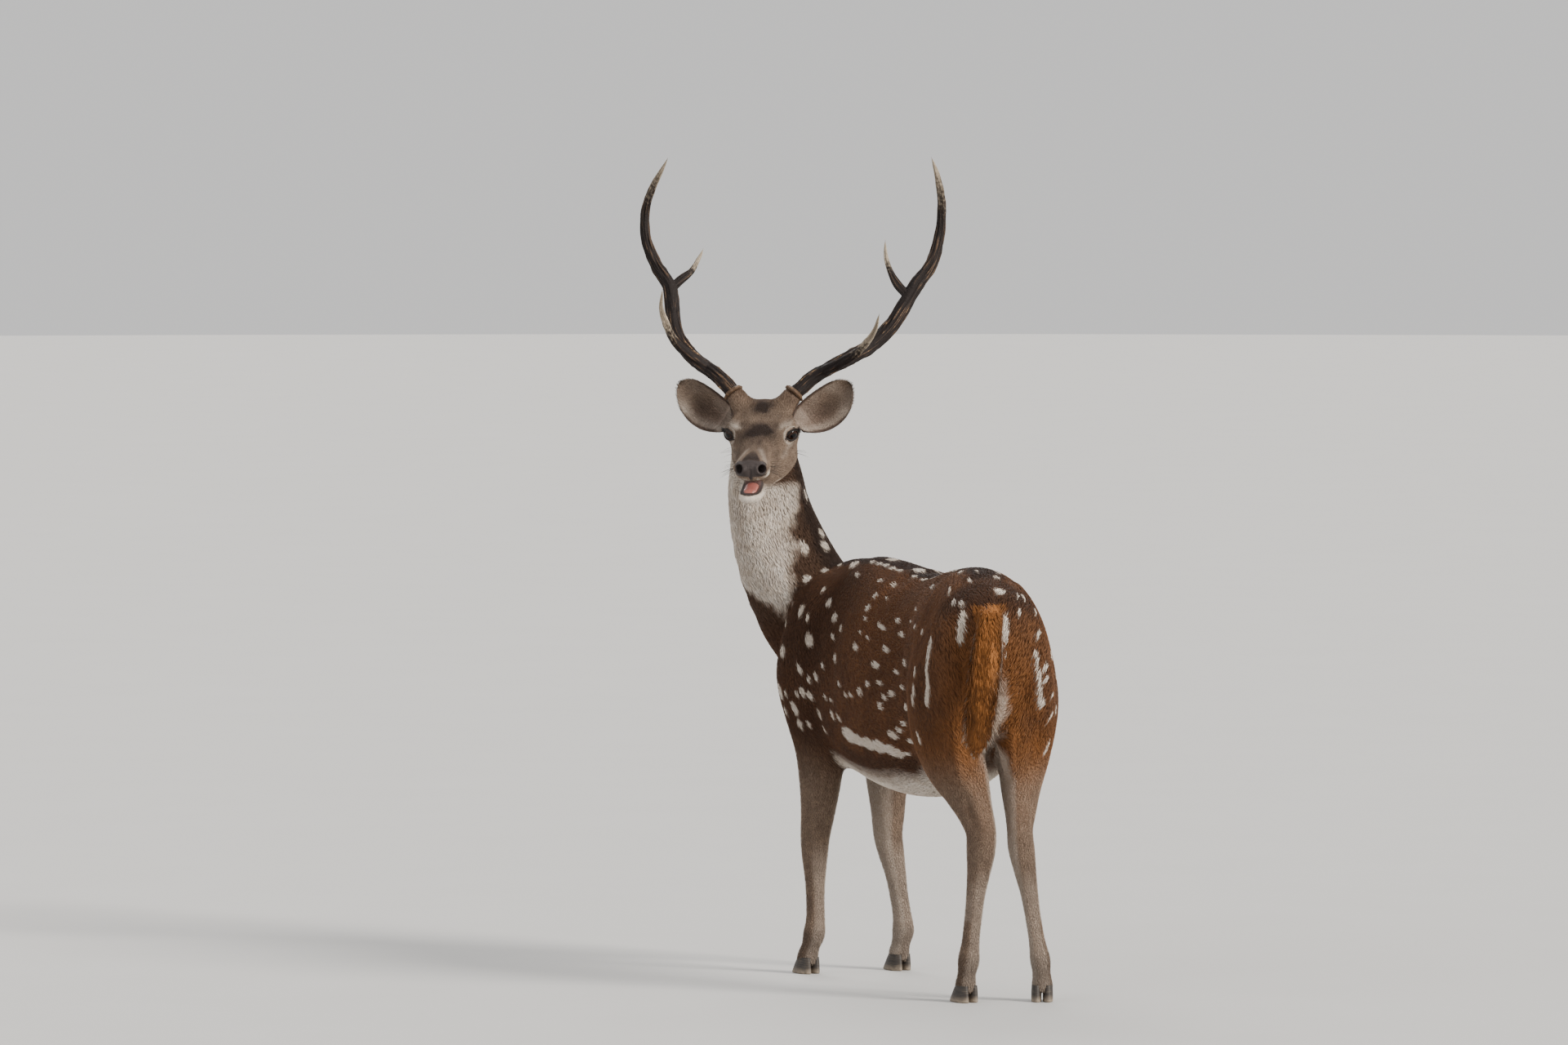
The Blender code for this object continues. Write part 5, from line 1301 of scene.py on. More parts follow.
    low = 0.008 * step(np.abs(at.aside), 0.005, 0.002)
    pad = face * step(at.forward, 0.16, 0.167) * step(at.up + low, -0.014, -0.009)
    pad *= step(np.abs(at.aside), 0.036, 0.03) * step(n @ (FACE * 0.8 + CROWN * 0.6), 0.0, 0.3)
    chewed = at.aside - jaw_aside(at.forward)
    lower = step(at.up, -0.042, -0.048) * step(at.up, -0.074, -0.068) * step(at.forward, 0.085, 0.105)
    round_lip = np.hypot(chewed / 0.0215, np.clip(at.forward - 0.122, 0, 1) / 0.037)
    lip = face * lower * step(n @ CROWN, 0.0, 0.3) * step(round_lip, 1.06, 0.94)
    upper_lip = hump(at.up, -0.0275, 0.0042) * step(n @ CROWN, 0.1, -0.2)
    lip = most(lip, face * step(at.forward, 0.09, 0.11) * upper_lip)
    mouth = face * step(at.forward, 0.06, 0.075) * step(at.up, -0.024, -0.03)
    mouth *= step(at.up, -0.068, -0.062) * step(round_lip, 0.86, 0.66)
    mouth *= step(np.abs(n @ CROWN) + 0.6 * (at.forward < 0.12), 0.35, 0.6)
    nostril = np.zeros(size)
    for side in (1, -1):
        gap = lengths(at.points - on_head(0.166, side * 0.0215, 0.0055))
        nostril = most(nostril, face * step(gap, 0.014, 0.0115))
    pad = most(pad, nostril)
    rim = step(eye_gap, 0.0036, 0.0018)
    # The nose pad, lips and lid rims are dark skin; the inside of the mouth is made dark as well, as painted
    # shade.
    bare = most(pad, np.clip(lip, 0, 1), mouth, rim)
    dark = most(dark, most(pad, mouth, np.clip(lip, 0, 1), rim))
    white *= 1 - most(pad, lip, rim)
    clip = lambda v: np.clip(v, 0, 1)
    # Pink shows only in the lower part of the mouth; above it the mouth stays dark as painted shade. Inside the
    # ears the pink is the skin's own.
    pinkish = most(0.45 * mouth * step(at.up, -0.035, -0.046), 0.12 * at.ear * ear_in
        * step(along, 0.7, 0.2))
    return {"white": clip(white), "dark": clip(dark), "rust": clip(rust), "grey": clip(grey),
        "bare": clip(bare), "pink": clip(pinkish), "wet": clip(most(pad, mouth)), "ear_in": at.ear * ear_in}


def ear_inside(at):
    facing = np.where((at.aside > 0)[:, None], ear_axes(1)[2], ear_axes(-1)[2])
    return step(dots(facing, at.normals), 0.0, 0.3) * at.ear


def ear_plan(at):
    """Share of the ear's length, and place across it from -1 at its lower edge to 1 at its upper."""
    along, upward = np.zeros(len(at.points)), np.zeros(len(at.points))
    table = np.asarray(EAR)
    for side, hand in HANDS:
        ahead, across, _ = ear_axes(side)
        mine = at.share[f"ear_{hand}"] > 0.3
        away = at.points[mine] - ear_root(side)
        t = np.clip(away @ ahead / EAR_LENGTH, 0, 1)
        half = np.interp(t, table[:, 0], table[:, 1])
        along[mine] = t
        upward[mine] = side * (away @ across + side * 0.01 * np.sin(pi * t)) / half
    return along, np.clip(upward, -1, 1)


# Coat

# Part: gap between tufts, length and width of a tuft, in mm
PART_HAIR = {"trunk": (3.15, 19.0, 1.4), "neck": (2.8, 19.0, 1.15), "head": (1.9, 6.5, 0.8),
    "jaw": (1.95, 7.5, 0.82), "tail": (2.1, 44.0, 1.8), "ear_left": (2.3, 8.0, 0.65),
    "ear_right": (2.3, 8.0, 0.65)}
UPPER_LEG_HAIR = (3.0, 14.0, 1.35)
LOWER_LEG_HAIR = (2.3, 8.0, 0.95)
# Part: lowest corner and size of its tile on the flattened skin
TILES = {"trunk": (0.0, 0.0, 0.46, 0.5), "neck": (0.48, 0.0, 0.26, 0.34), "head": (0.76, 0.0, 0.22, 0.2),
    "jaw": (0.76, 0.22, 0.22, 0.12), "tail": (0.48, 0.36, 0.2, 0.14), "ear_left": (0.7, 0.36, 0.13, 0.14),
    "ear_right": (0.85, 0.36, 0.13, 0.14), "fore_left": (0.0, 0.52, 0.23, 0.46),
    "fore_right": (0.25, 0.52, 0.23, 0.46), "hind_left": (0.5, 0.52, 0.23, 0.46),
    "hind_right": (0.75, 0.52, 0.23, 0.46)}
PATCH = 0.0015  # half the width of a tuft's patch there
# A tuft's corners: root, three round its middle, tip. Share of its length, place in its patch, and its faces
TUFT_ALONG = (0.0, 0.5, 0.5, 0.5, 1.0)
TUFT_PATCH = ((0, -1), (-1, 0), (0, 0.3), (1, 0), (0, 1))
TUFT_FACES = ((2, 1, 0), (3, 2, 0), (1, 3, 0), (1, 2, 4), (2, 3, 4), (3, 1, 4))


def growth(at):
    """At each point of the skin: gap between tufts, length, width and rise of a tuft, all in metres."""
    leg = step(at.height, 0.4, 0.55)[:, None]
    leg_hair = mixed(np.asarray(LOWER_LEG_HAIR), np.asarray(UPPER_LEG_HAIR), leg)
    hair = np.zeros((len(at.points), 3))
    for name, share in at.share.items():
        hair += share[:, None] * (leg_hair if name in LEG_SWING else np.asarray(PART_HAIR[name]))
    hair = mixed(hair, np.asarray(PART_HAIR["ear_left"]), at.ear[:, None])
    hair = mixed(hair, np.asarray(PART_HAIR["tail"]), at.tail[:, None])
    gap, length, width = hair.T / 1000
    face, high = at.face, at.height
    body = 1 - face
    length = length + 0.003 * step(high, 0.76, 0.86) * at.share["trunk"]
    length += 0.011 * step(at.ahead, -0.37, -0.43) * step(high, 0.42, 0.55) * (1 - at.tail)
    length += 0.008 * bib(at) * body
    length += 0.006 * step(at.ahead, 0.4, 0.46) * step(high, 0.8, 0.66) * (1 - at.fore)
    length += 0.005 * at.share["trunk"] * step(at.normals[:, 2], -0.5, -0.9)
    fine = np.clip(step(at.forward, 0.06, 0.13) + near_eyes(at), 0, 1) * face
    length *= 1 - 0.42 * fine
    gap *= 1 - 0.16 * fine
    width *= 1 - 0.22 * fine
    length += 0.004 * face * step(at.up, 0.035, 0.055) * step(at.forward, 0.0, -0.03)
    length += 0.005 * face * step(at.forward, -0.01, -0.06) * step(at.up, 0.0, -0.05)
    rise = mixed(mixed(coat_depth(at), 0.0012, at.ear), 0.006, at.tail)
    end = np.clip(0.01 + 0.45 * (high - 0.505), 0.008, 0.046)
    length = np.where(at.tail > 0.5, np.minimum(length, end) * step(high, 0.84, 0.74).clip(0.4, 1), length)
    return gap, length, width, rise


def near_eyes(at):
    near = np.zeros(len(at.points))
    for side in (1, -1):
        away = lengths(at.points - eye_gaze(side)[0])
        near = most(near, step(away, 0.036, 0.024))
    return near


def flat_place(at):
    """Each point's place on the flattened skin: round its part across, along it up, a tile for each part."""
    names = list(at.share)
    best = np.argmax([at.share[name] for name in names], axis=0)
    places = np.zeros((len(at.points), 2))
    for number, name in enumerate(names):
        mine = best == number
        line, k = at.lines[name], at.sample[name][mine]
        away = at.points[mine] - line.places[k]
        turn = np.arctan2(dots(away, line.left[k]), dots(away, line.front[k]))
        x, y, wide, high = TILES[name]
        slide = dots(away, line.lie[k]) / (0.02 + np.abs(line.places[0] - line.places[-1]).max())
        up = np.clip(k / len(line.places) + slide * 0.5, 0.01, 0.99)
        places[mine] = np.stack([x + wide * (turn / tau + 0.5), y + high * up], 1)
    return places


def scattered(mesh, points, thickness, rng):
    """Roots spread over the faces, `thickness` of them on a square metre: corners and shares of each."""
    mesh.calc_loop_triangles()
    corners = np.empty(len(mesh.loop_triangles) * 3, np.int32)
    mesh.loop_triangles.foreach_get("vertices", corners)
    corners = corners.reshape(-1, 3)
    a, b, c = (points[corners[:, i]] for i in range(3))
    area = lengths(np.cross(b - a, c - a)) / 2
    sum_up = np.cumsum(area * thickness[corners].mean(1))
    count = int(sum_up[-1])
    face = np.searchsorted(sum_up, np.arange(count) + rng.uniform(0, 1, count)).clip(0, len(area) - 1)
    root, other = np.sqrt(rng.uniform(0, 1, count)), rng.uniform(0, 1, count)
    shares = np.stack([1 - root, root * (1 - other), root * other], 1)
    return corners[face], shares


def blended(values, corners, shares):
    if values.ndim == 1:
        return dots(values[corners], shares)
    return dots(values[corners], shares[:, :, None])


def laid(tree, places, normals, rise):
    """Places brought down to the skin and lifted by the rise."""
    out = places.copy()
    up = normals.copy()
    for i, place in enumerate(places.tolist()):
        found, normal, _, _ = tree.find_nearest(place)
        out[i], up[i] = found, normal
    return out + up * rise[:, None], up


def tuft_mesh(name, roots, middles, tips, ups, width, tints, tones, flat):
    """One mesh of thin tufts: each a spindle with a root, a flat three-sided middle and a tip."""
    count = len(roots)
    lie = tips - roots
    side = np.cross(ups, lie)
    side /= lengths(side)[:, None] + 1e-12
    half = (side * width[:, None]) / 2
    thick = ups * width[:, None] * 0.3
    places = np.stack([roots, middles - half, middles + thick, middles + half, tips], axis=1)
    corners = np.arange(count)[:, None, None] * 5 + np.array(TUFT_FACES)
    mesh = bpy.data.meshes.new(name)
    mesh.vertices.add(count * 5)
    mesh.vertices.foreach_set("co", places.ravel())
    mesh.loops.add(count * 18)
    mesh.loops.foreach_set("vertex_index", corners.ravel().astype(np.int32))
    mesh.polygons.add(count * 6)
    mesh.polygons.foreach_set("loop_start", np.arange(0, count * 18, 3, dtype=np.int32))
    mesh.update(calc_edges=True)
    store(mesh, "marks", np.repeat(tints, 5, axis=0))
    along = np.tile(TUFT_ALONG, count)
    store(mesh, "tuft", np.column_stack([along, np.repeat(tones, 5, axis=0), np.zeros(count * 5)]))
    spots = (flat[:, None] + np.array(TUFT_PATCH) * PATCH).reshape(-1, 2)
    uv = mesh.uv_layers.new(name="OFBake")
    uv.data.foreach_set("uv", spots[corners.ravel()].ravel())
    mesh.shade_smooth()
    return linked(name, mesh)


def store(mesh, name, colours):
    layer = mesh.color_attributes.new(name, "FLOAT_COLOR", "POINT")
    layer.data.foreach_set("color", np.ascontiguousarray(colours, dtype=np.float32).ravel())


def region_of(at):
    """The coat piece that a point belongs to."""
    names = np.full(len(at.points), "coat_trunk_left_front", dtype=object)
    left, front = at.out > 0, at.ahead > 0.03
    names[~left & front] = "coat_trunk_right_front"
    names[left & ~front] = "coat_trunk_left_rear"
    names[~left & ~front] = "coat_trunk_right_rear"
    neck = at.share["neck"] > 0.5
    names[neck & (at.height > 0.92)] = "coat_neck_upper"
    names[neck & (at.height <= 0.92)] = "coat_neck_lower"
    for which in LEG_SWING:
        names[(at.share[which] > 0.5) & (at.height < 0.62)] = f"coat_leg_{which}"
    names[at.face > 0.5] = "coat_face"
    names[(at.face > 0.5) & (at.forward < -0.01)] = "coat_cheeks"
    names[at.ear > 0.5] = "coat_ears"
    names[at.tail > 0.5] = "coat_tail"
    return names


def build_coat(skin, sizes):
    """All tufts of the coat, one piece for each region."""
    points = points_of(skin) - frame_shift()
    normals = normals_of(skin)
    at = Survey(points, normals, middle_lines())
    way = values_of(skin.data.attributes["lie"].data, "vector")
    bare = values_of(skin.data.color_attributes["skin_marks"].data, "color", 4)[:, 0]
    gap, length, width, rise = growth(at)
    gap = gap * sizes.tuft_gap
    thickness = step(bare, 0.6, 0.3) / gap**2
    rng = np.random.default_rng(11)
    corners, shares = scattered(skin.data, points, thickness, rng)
    roots, ups = blended(points, corners, shares), blended(normals, corners, shares)
    ways = blended(way, corners, shares)
    gap, length, width, rise = (blended(v, corners, shares) for v in (gap, length, width, rise))
    count = len(roots)
    loose = blended(at.tail, corners, shares)
    swirl = patchy(roots, 26, 4) * 0.16 + patchy(roots, 90, 5) * 0.1 + rng.normal(0, 1, count) * (0.09
        + 0.09 * loose)
    ways = flattened(ways, ups)
    ways = ways + np.cross(ups, ways) * swirl[:, None]
    ways = flattened(ways, ups)
    length *= rng.uniform(0.7, 1.22, count) * sizes.tuft_length
    width *= rng.uniform(0.75, 1.25, count) * sizes.tuft_width
    rise *= rng.uniform(0.75, 1.1, count)
    tree = tree_of(skin, frame_shift())
    middles = roots + ways * (length * 0.5)[:, None] + ups * (rise * 0.75)[:, None]
    tips = roots + ways * length[:, None] + ups * rise[:, None]
    hanging = blended(at.tail + at.ear, corners, shares) > 0.4
    long = np.flatnonzero((length > 0.0075) & ~hanging)
    middles[long] = laid(tree, (roots + ways * (length * 0.5)[:, None])[long], ups[long], rise[long] * 0.8)[
        0]
    tips[long], seen = laid(tree, (roots + ways * length[:, None])[long], ups[long], rise[long] * 0.5)
    low, high = (np.asarray(corner) - frame_shift() for corner in CAD_BOX)
    middles, tips = (places.clip(low + 0.0014, high - 0.0014) for places in (middles, tips))
    facing = ups.copy()
    facing[long] = seen
    tone_places = roots * 0.15 + tips * 0.85 - facing * rise[:, None]
    tone_survey = Survey(tone_places, facing, at.lines)
    marks = markings(tone_survey, ways, spot_places(tree))
    tints = np.stack([marks[key] for key in ("white", "dark", "rust", "grey")], 1)
    tones = rng.uniform(0, 1, (count, 2))
    root_survey = Survey(roots, ups, at.lines)
    flat, regions = flat_place(root_survey), region_of(root_survey)
    roots = roots - ups * 0.0006
    pieces = []
    for name in sorted(set(regions)):
        mine = regions == name
        pieces.append(tuft_mesh(name, *(v[mine] for v in (roots, middles, tips, ups, width, tints, tones,
            flat))))
    return pieces


# Small help for pieces

def frame_shift():
    """From the stag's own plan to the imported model's frame, read from where the left eye is."""
    low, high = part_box("eye_left")
    return (np.asarray(low) + np.asarray(high)) / 2 - on_head(*EYE_PLACE)


def finished(obj, finish, replaced=()):
    """Moves a piece into the frame, gives it its finish, and fixes it to the model."""
    if not obj.get("placed"):
        set_points(obj, points_of(obj) + frame_shift())
    obj.data.materials.clear()
    obj.data.materials.append(finish)
    obj.data.shade_smooth()
    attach(obj, "root")
    if replaced:
        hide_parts(*replaced)
    return obj


def mark_skin(skin):
    """Puts the markings and the lie of the hair on the skin's points."""
    points, normals = points_of(skin), normals_of(skin)
    at = Survey(points, normals, middle_lines())
    way = hair_way(at)
    flat = np.empty(len(skin.data.edges) * 2, np.int32)
    skin.data.edges.foreach_get("vertices", flat)
    way = evened(flattened(way, normals), flat.reshape(-1, 2), len(points), 12)
    way = flattened(way, normals)
    marks = markings(at, way, spot_places(tree_of(skin)))
    lie = skin.data.attributes.new("lie", "FLOAT_VECTOR", "POINT")
    lie.data.foreach_set("vector", way.astype(np.float32).ravel())
    store(skin.data, "marks", np.stack([marks[key] for key in ("white", "dark", "rust", "grey")], 1))
    store(skin.data, "skin_marks", np.stack([marks[key] for key in ("bare", "pink", "wet", "ear_in")], 1))


# Antlers

def furrowed_tube(places, radii, sides, seed, pearls=None):
    """Rings of a branch with long furrows, and pearls where they are asked for."""
    rings = tube(places, radii, sides)
    along = np.concatenate([[0.0], np.cumsum(lengths(np.diff(places, axis=0)))])
    for number, ring in enumerate(rings):
        ring = np.asarray(ring)
        centre, radius = places[number], radii[number]
        for side in range(sides):
            turn = side * tau / sides
            twist = turn + along[number] * 1.5
            grain = Vector((cos(twist) * 3.2, sin(twist) * 3.2, along[number] * 7.0 + seed))
            push = 1.0 - 4.2 * abs(noise.noise(grain)) - 2.8 * abs(noise.noise(grain * 2.4))
            push *= 0.0015 * min(radius / 0.013, 1.0)
            if pearls is not None:
                bump = noise.noise(Vector((cos(turn) * 4.5, sin(turn) * 4.5, along[number] * 170.0 + seed)))
                push += pearls[number] * 0.0021 * max(bump - 0.12, 0.0)
            ring[side] += unit(ring[side] - centre) * (push - 0.0014)
        rings[number] = ring
    return rings


def burr_shape(side, sides=72):
    """The knobbly ring that an antler stands on."""
    base, axis = burr_place(side), pedicle_axis(side)
    across = unit(np.cross(axis, HEADING))
    other = np.cross(axis, across)
    angle = np.arange(sides) * tau / sides
    rings = []
    for lift, radius in ((0.0003, 0.018), (0.0012, 0.0208), (0.003, 0.0222), (0.0052, 0.0218),
            (0.0074, 0.0192), (0.0095, 0.0166)):
        knobs = np.array([1 + 0.075 * noise.noise(Vector((cos(a) * 3.2, sin(a) * 3.2, lift * 60 + side)))
            + 0.035 * sin(a * 11) for a in angle])
        ring = np.outer(np.cos(angle), across) + np.outer(np.sin(angle), other)
        rings.append(base + axis * lift + ring * (radius * knobs)[:, None])
    return tube_mesh(rings)


def build_antler(hand):
    side = 1 if hand == "left" else -1
    places, radii = antler_points(hand, BEAM, 190)
    share = np.linspace(0.0, 1.0, len(places))
    pearls = step(share, 0.42, 0.1)
    antler = make(f"antler_{hand}", tube_mesh(furrowed_tube(places, radii, 52, 3.0 + side, pearls)))
    branches = [(places, radii)]
    for table, count in ((INNER_TINE, 70), (BROW_TINE, 90)):
        path, thick = antler_points(hand, table, count)
        thick = thick * (1 - 0.16 * step(np.linspace(0, 1, count), 0.2, 0.6))
        branches.append((path, thick))
        boolean(antler, make("tine", tube_mesh(furrowed_tube(path, thick, 32, 9.0 * count, None))), "UNION")
    boolean(antler, make("burr", burr_shape(side)), "UNION")
    soften(antler, [(branch[0][2], 0.017) for branch in branches[1:]], 10)
    keep_largest(antler)
    points = points_of(antler)
    best = np.full(len(points), 9.0)
    grain = np.zeros((len(points), 4))
    for path, thick in branches:
        gap = np.linalg.norm(points[:, None] - path[None], axis=2)
        k = gap.argmin(1)
        over = gap[np.arange(len(points)), k] - thick[k]
        mine = over < best
        best = np.where(mine, over, best)
        grain[mine, 0] = k[mine] / (len(path) - 1)
        grain[mine, 1] = np.clip(0.85 + over[mine] / 0.0024, 0, 1)
        grain[mine, 2] = 1.0 if path is places else 0.0
        grain[mine, 3] = 1.0
    store(antler.data, "grain", grain)
    return antler


# Eyes

def build_eye(side):
    """The eyeball: a little fuller over the cornea, with each place's bearing from the gaze for its colours."""
    eye, gaze, slant = eye_gaze(side)
    vertices, faces = ball(eye, (1, 1, 1), (slant, CROWN, gaze), 44, 64)
    away = np.asarray(vertices) - eye
    ahead = away @ gaze
    full = 1 + 0.03 * step(ahead, 0.62, 0.86)
    obj = make(f"eyeball_{'left' if side > 0 else 'right'}",
        (eye + away * full[:, None] * (EYE_RADIUS - 0.0003), faces))
    away = points_of(obj) - eye
    away /= lengths(away)[:, None]
    look = np.stack([away @ slant * 0.5 + 0.5, away @ CROWN * 0.5 + 0.5, away @ gaze * 0.5 + 0.5,
        np.ones(len(away))], 1)
    store(obj.data, "look", look)
    return obj


def loop_mesh(rings):
    """A tube whose last ring joins its first."""
    count, sides = len(rings), len(rings[0])
    faces = []
    for i in range(count):
        a, b = i * sides, (i + 1) % count * sides
        for j in range(sides):
            k = (j + 1) % sides
            faces.append((a + j, a + k, b + k, b + j))
    return np.concatenate(rings), faces


def lid_shape(side, count=84, sides=12):
    """The dark wet margin of the lids, round the eye's opening."""
    eye, gaze, _ = eye_gaze(side)
    line = lid_line(side, LID_REACH, count, EYE_RADIUS + 0.0009)
    c, s = circle(sides)
    rings = []
    for i in range(count):
        out = unit(line[i] - eye)
        along = unit(line[(i + 1) % count] - line[i - 1])
        across = np.cross(out, along)
        upper = 0.5 + 0.5 * unit(line[i] - eye - gaze * 0.012) @ CROWN
        thick = 0.0014 + 0.0007 * upper
        rings.append(line[i] + np.outer(c * thick, out) + np.outer(s * thick * 1.25, across))
    return loop_mesh(rings)


def hair_shape(root, way, bend, length, radius, rings=7, sides=5):
    """One long tapering hair, bent towards `bend`."""
    t = np.linspace(0.0, 1.0, rings)
    places = root + np.outer(t * length, way) + np.outer(t * t * length, bend)
    radii = radius * (1 - t) ** 0.7 + 0.00004
    return tube_mesh(tube(places, radii, sides))


def lash_shapes(side, length):
    """Long lashes on the upper lid, short ones on the lower."""
    eye, gaze, slant = eye_gaze(side)
    line = lid_line(side, LID_REACH, 96, EYE_RADIUS + 0.0018)
    rng = np.random.default_rng(40 + side)
    shapes = []
    for i in range(0, 96):
        place = line[i]
        rise = (place - eye) @ CROWN
        inner = (place - eye) @ slant
        if inner > 0.004 or rise < 0.001 and i % 3:
            continue
        out = unit(place - eye)
        reach = length * (1.0 if rise > 0.001 else 0.45) * rng.uniform(0.75, 1.1)
        way = unit(out + gaze * 0.35 + slant * 0.25 * ((place - eye) @ slant) / 0.015 - CROWN * 0.25)
        shapes.append(hair_shape(place, way, CROWN * (0.45 if rise > 0 else -0.3), reach, 0.00032, 5, 4))
    return shapes


# Mouth

def build_tongue():
    rows = [(row[0] - 0.008, row[1] - 0.0075, row[2] * 0.8, row[3] * 0.7, *row[4:]) for row in TONGUE]
    obj = make("tongue_soft", loft(head_rows(rows, JAW_ASIDE), 60, 36))
    points = points_of(obj)
    forward, aside, up = face_plan(points)
    groove = hump(aside, jaw_aside(forward), 0.0035) * step(up, -0.055, -0.048)
    set_points(obj, points - np.outer(groove * 0.0016, CROWN))
    return obj


# Hooves

# Height, half width, reach to the front and to the back of one toe
TOE = scaled(((337, 100, 188, 188), (240, 105, 258, 200), (120, 108, 328, 210), (20, 107, 384, 214),
    (0, 98, 372, 204)), 10000)


def toe_shape(which, toe, sides=48):
    """One toe, with growth rings, a blunt tip, a flatter inner side and a flat sole."""
    last = leg_rows(which)[-2]
    ahead, left = leg_axes(which)
    centre = np.array([last[0], last[1], 0.0]) + left * toe * 0.0112
    table = np.asarray(TOE)[::-1]
    c, s = circle(sides)
    rings = []
    heights = np.concatenate([np.linspace(0.0337, 0.002, 30), [0.0008, 0.0]])
    for height in heights:
        half, front, back = (np.interp(height, table[:, 0], table[:, i]) for i in (1, 2, 3))
        ripple = 0.00022 * sin(height * 1500 + 2.0 * toe) + 0.00016 * sin(height * 3700)
        reach = np.where(s > 0, front + ripple, back) * s
        narrow = np.where(s > 0, 1 - 0.45 * s**2, 1.0)
        inner = np.where(c * toe < 0, 0.92, 1.0)
        side = c * (half + ripple * 0.6) * narrow * inner
        rings.append(centre + np.outer(side, left) + np.outer(reach, ahead) + np.array([0, 0, height]))
    return tube_mesh(rings)


def build_hooves(which):
    return make(f"hooves_{which}", joined([toe_shape(which, toe) for toe in (1, -1)]))


# Whiskers

def whisker_shapes(skin_tree, length):
    """Long stiff hairs on the muzzle, the chin and above the eyes."""
    rng = np.random.default_rng(77)
    shapes = []
    for side in (1, -1):
        rows = [(0.15 - 0.01 * i, 0.045, -0.004 - 0.006 * j, 1.0) for i in range(5) for j in range(3)]
        rows += [(0.125 - 0.012 * i, 0.032, -0.062, 0.7) for i in range(5)]
        rows += [(0.018 - 0.01 * i, 0.06, 0.046, 0.9) for i in range(4)]
        rows += [(-0.01 - 0.01 * i, 0.075, -0.04, 0.8) for i in range(4)]
        for forward, out, up, share in rows:
            aim = on_head(forward + rng.normal(0, 0.002), side * out, up + rng.normal(0, 0.002))
            found, normal, _, _ = skin_tree.find_nearest(Vector(aim))
            root, normal = np.asarray(found), np.asarray(normal)
            way = unit(normal + HEAD_LEFT * side * 0.25 + FACE * rng.normal(0.0, 0.18) - CROWN * 0.25)
            bend = -FACE * 0.35 - CROWN * 0.3
            shapes.append(hair_shape(root, way, bend, length * share * rng.uniform(0.7, 1.15), 0.0003))
    return shapes


# Finishes

class Wire:
    """One socket's value in a finish's maths; expressions on it add Math nodes."""

    def __init__(self, finish, socket):
        self.finish, self.socket = finish, socket

    def maths(self, operation, first, second):
        return self.finish.node("ShaderNodeMath", {"operation": operation}, {0: first, 1: second})

    def __add__(self, other):
        return self.maths("ADD", self, other)

    def __mul__(self, other):
        return self.maths("MULTIPLY", self, other)

    def __sub__(self, other):
        return self.maths("SUBTRACT", self, other)

    def __rsub__(self, other):
        return self.maths("SUBTRACT", other, self)

    def __truediv__(self, other):
        return self.maths("DIVIDE", self, other)

    def __pow__(self, other):
        return self.maths("POWER", self, other)

    __radd__, __rmul__ = __add__, __mul__

    def between(self, low, high):
        """0 below low and 1 above high, smooth between; low may be the higher one."""
        settings = {"interpolation_type": "SMOOTHSTEP"}
        if low > high:
            return 1.0 - self.between(high, low)
        return self.finish.node("ShaderNodeMapRange", settings, {0: self, 1: low, 2: high, 3: 0.0, 4: 1.0})

    def limited(self):
        return self.finish.node("ShaderNodeClamp", {}, {0: self, 1: 0.0, 2: 1.0})

    def parts(self):
        node = self.finish.tree.nodes.new("ShaderNodeSeparateColor")
        self.finish.plug(node.inputs[0], self)
        return [Wire(self.finish, node.outputs[i]) for i in range(3)]


class Finish:
    """A material: its shader, and the nodes that vary over the surface."""

    def __init__(self, name, rough=0.5, **fixed):
        self.material = bpy.data.materials.new(name)
        self.material.use_nodes = True
        self.tree = self.material.node_tree
        self.shader = self.tree.nodes["Principled BSDF"]
        self.shader.inputs["Roughness"].default_value = rough
        for key, value in fixed.items():
            self.shader.inputs[key.replace("_", " ")].default_value = value

    def plug(self, socket, value):
        if isinstance(value, Wire):
            self.tree.links.new(value.socket, socket)
        elif hasattr(socket.default_value, "__len__") and len(value) == 3 and len(socket.default_value) == 4:
            socket.default_value = (*value, 1.0)
        else:
            socket.default_value = value

    def node(self, kind, settings=None, sockets=None, output=0):
        """Any node: its settings first, then the values or links of its sockets."""
        node = self.tree.nodes.new(kind)
        for key, value in (settings or {}).items():
            setattr(node, key, value)
        for key, value in (sockets or {}).items():
            self.plug(node.inputs[key], value)
        return Wire(self, node.outputs[output])

    def stored(self, name, output="Color"):
        return self.node("ShaderNodeAttribute", {"attribute_name": name}, {}, output)

    def mix(self, first, second, share):
        settings = {"data_type": "RGBA", "clamp_factor": True}
        return self.node("ShaderNodeMix", settings, {0: share, 6: first, 7: second}, 2)

    def position(self):
        return self.node("ShaderNodeTexCoord", {}, {}, "Object")

    def grain(self, scale, detail=3.0, stretch=None):
        """Noise over the object, 0 to 1; stretch squeezes it along the axes."""
        place = self.position()
        if stretch:
            place = self.node("ShaderNodeVectorMath", {"operation": "MULTIPLY"}, {0: place, 1: stretch})
        return self.node("ShaderNodeTexNoise", {}, {"Vector": place, "Scale": scale, "Detail": detail})

    def cells(self, scale, feature="F1"):
        sockets = {"Vector": self.position(), "Scale": scale}
        return self.node("ShaderNodeTexVoronoi", {"feature": feature}, sockets, "Distance")

    def colour(self, value):
        self.plug(self.shader.inputs["Base Color"], value)

    def rough(self, value):
        self.plug(self.shader.inputs["Roughness"], value)

    def relief(self, height, depth, strength=1.0):
        sockets = {"Height": height, "Distance": depth, "Strength": strength}
        self.plug(self.shader.inputs["Normal"], self.node("ShaderNodeBump", {}, sockets))


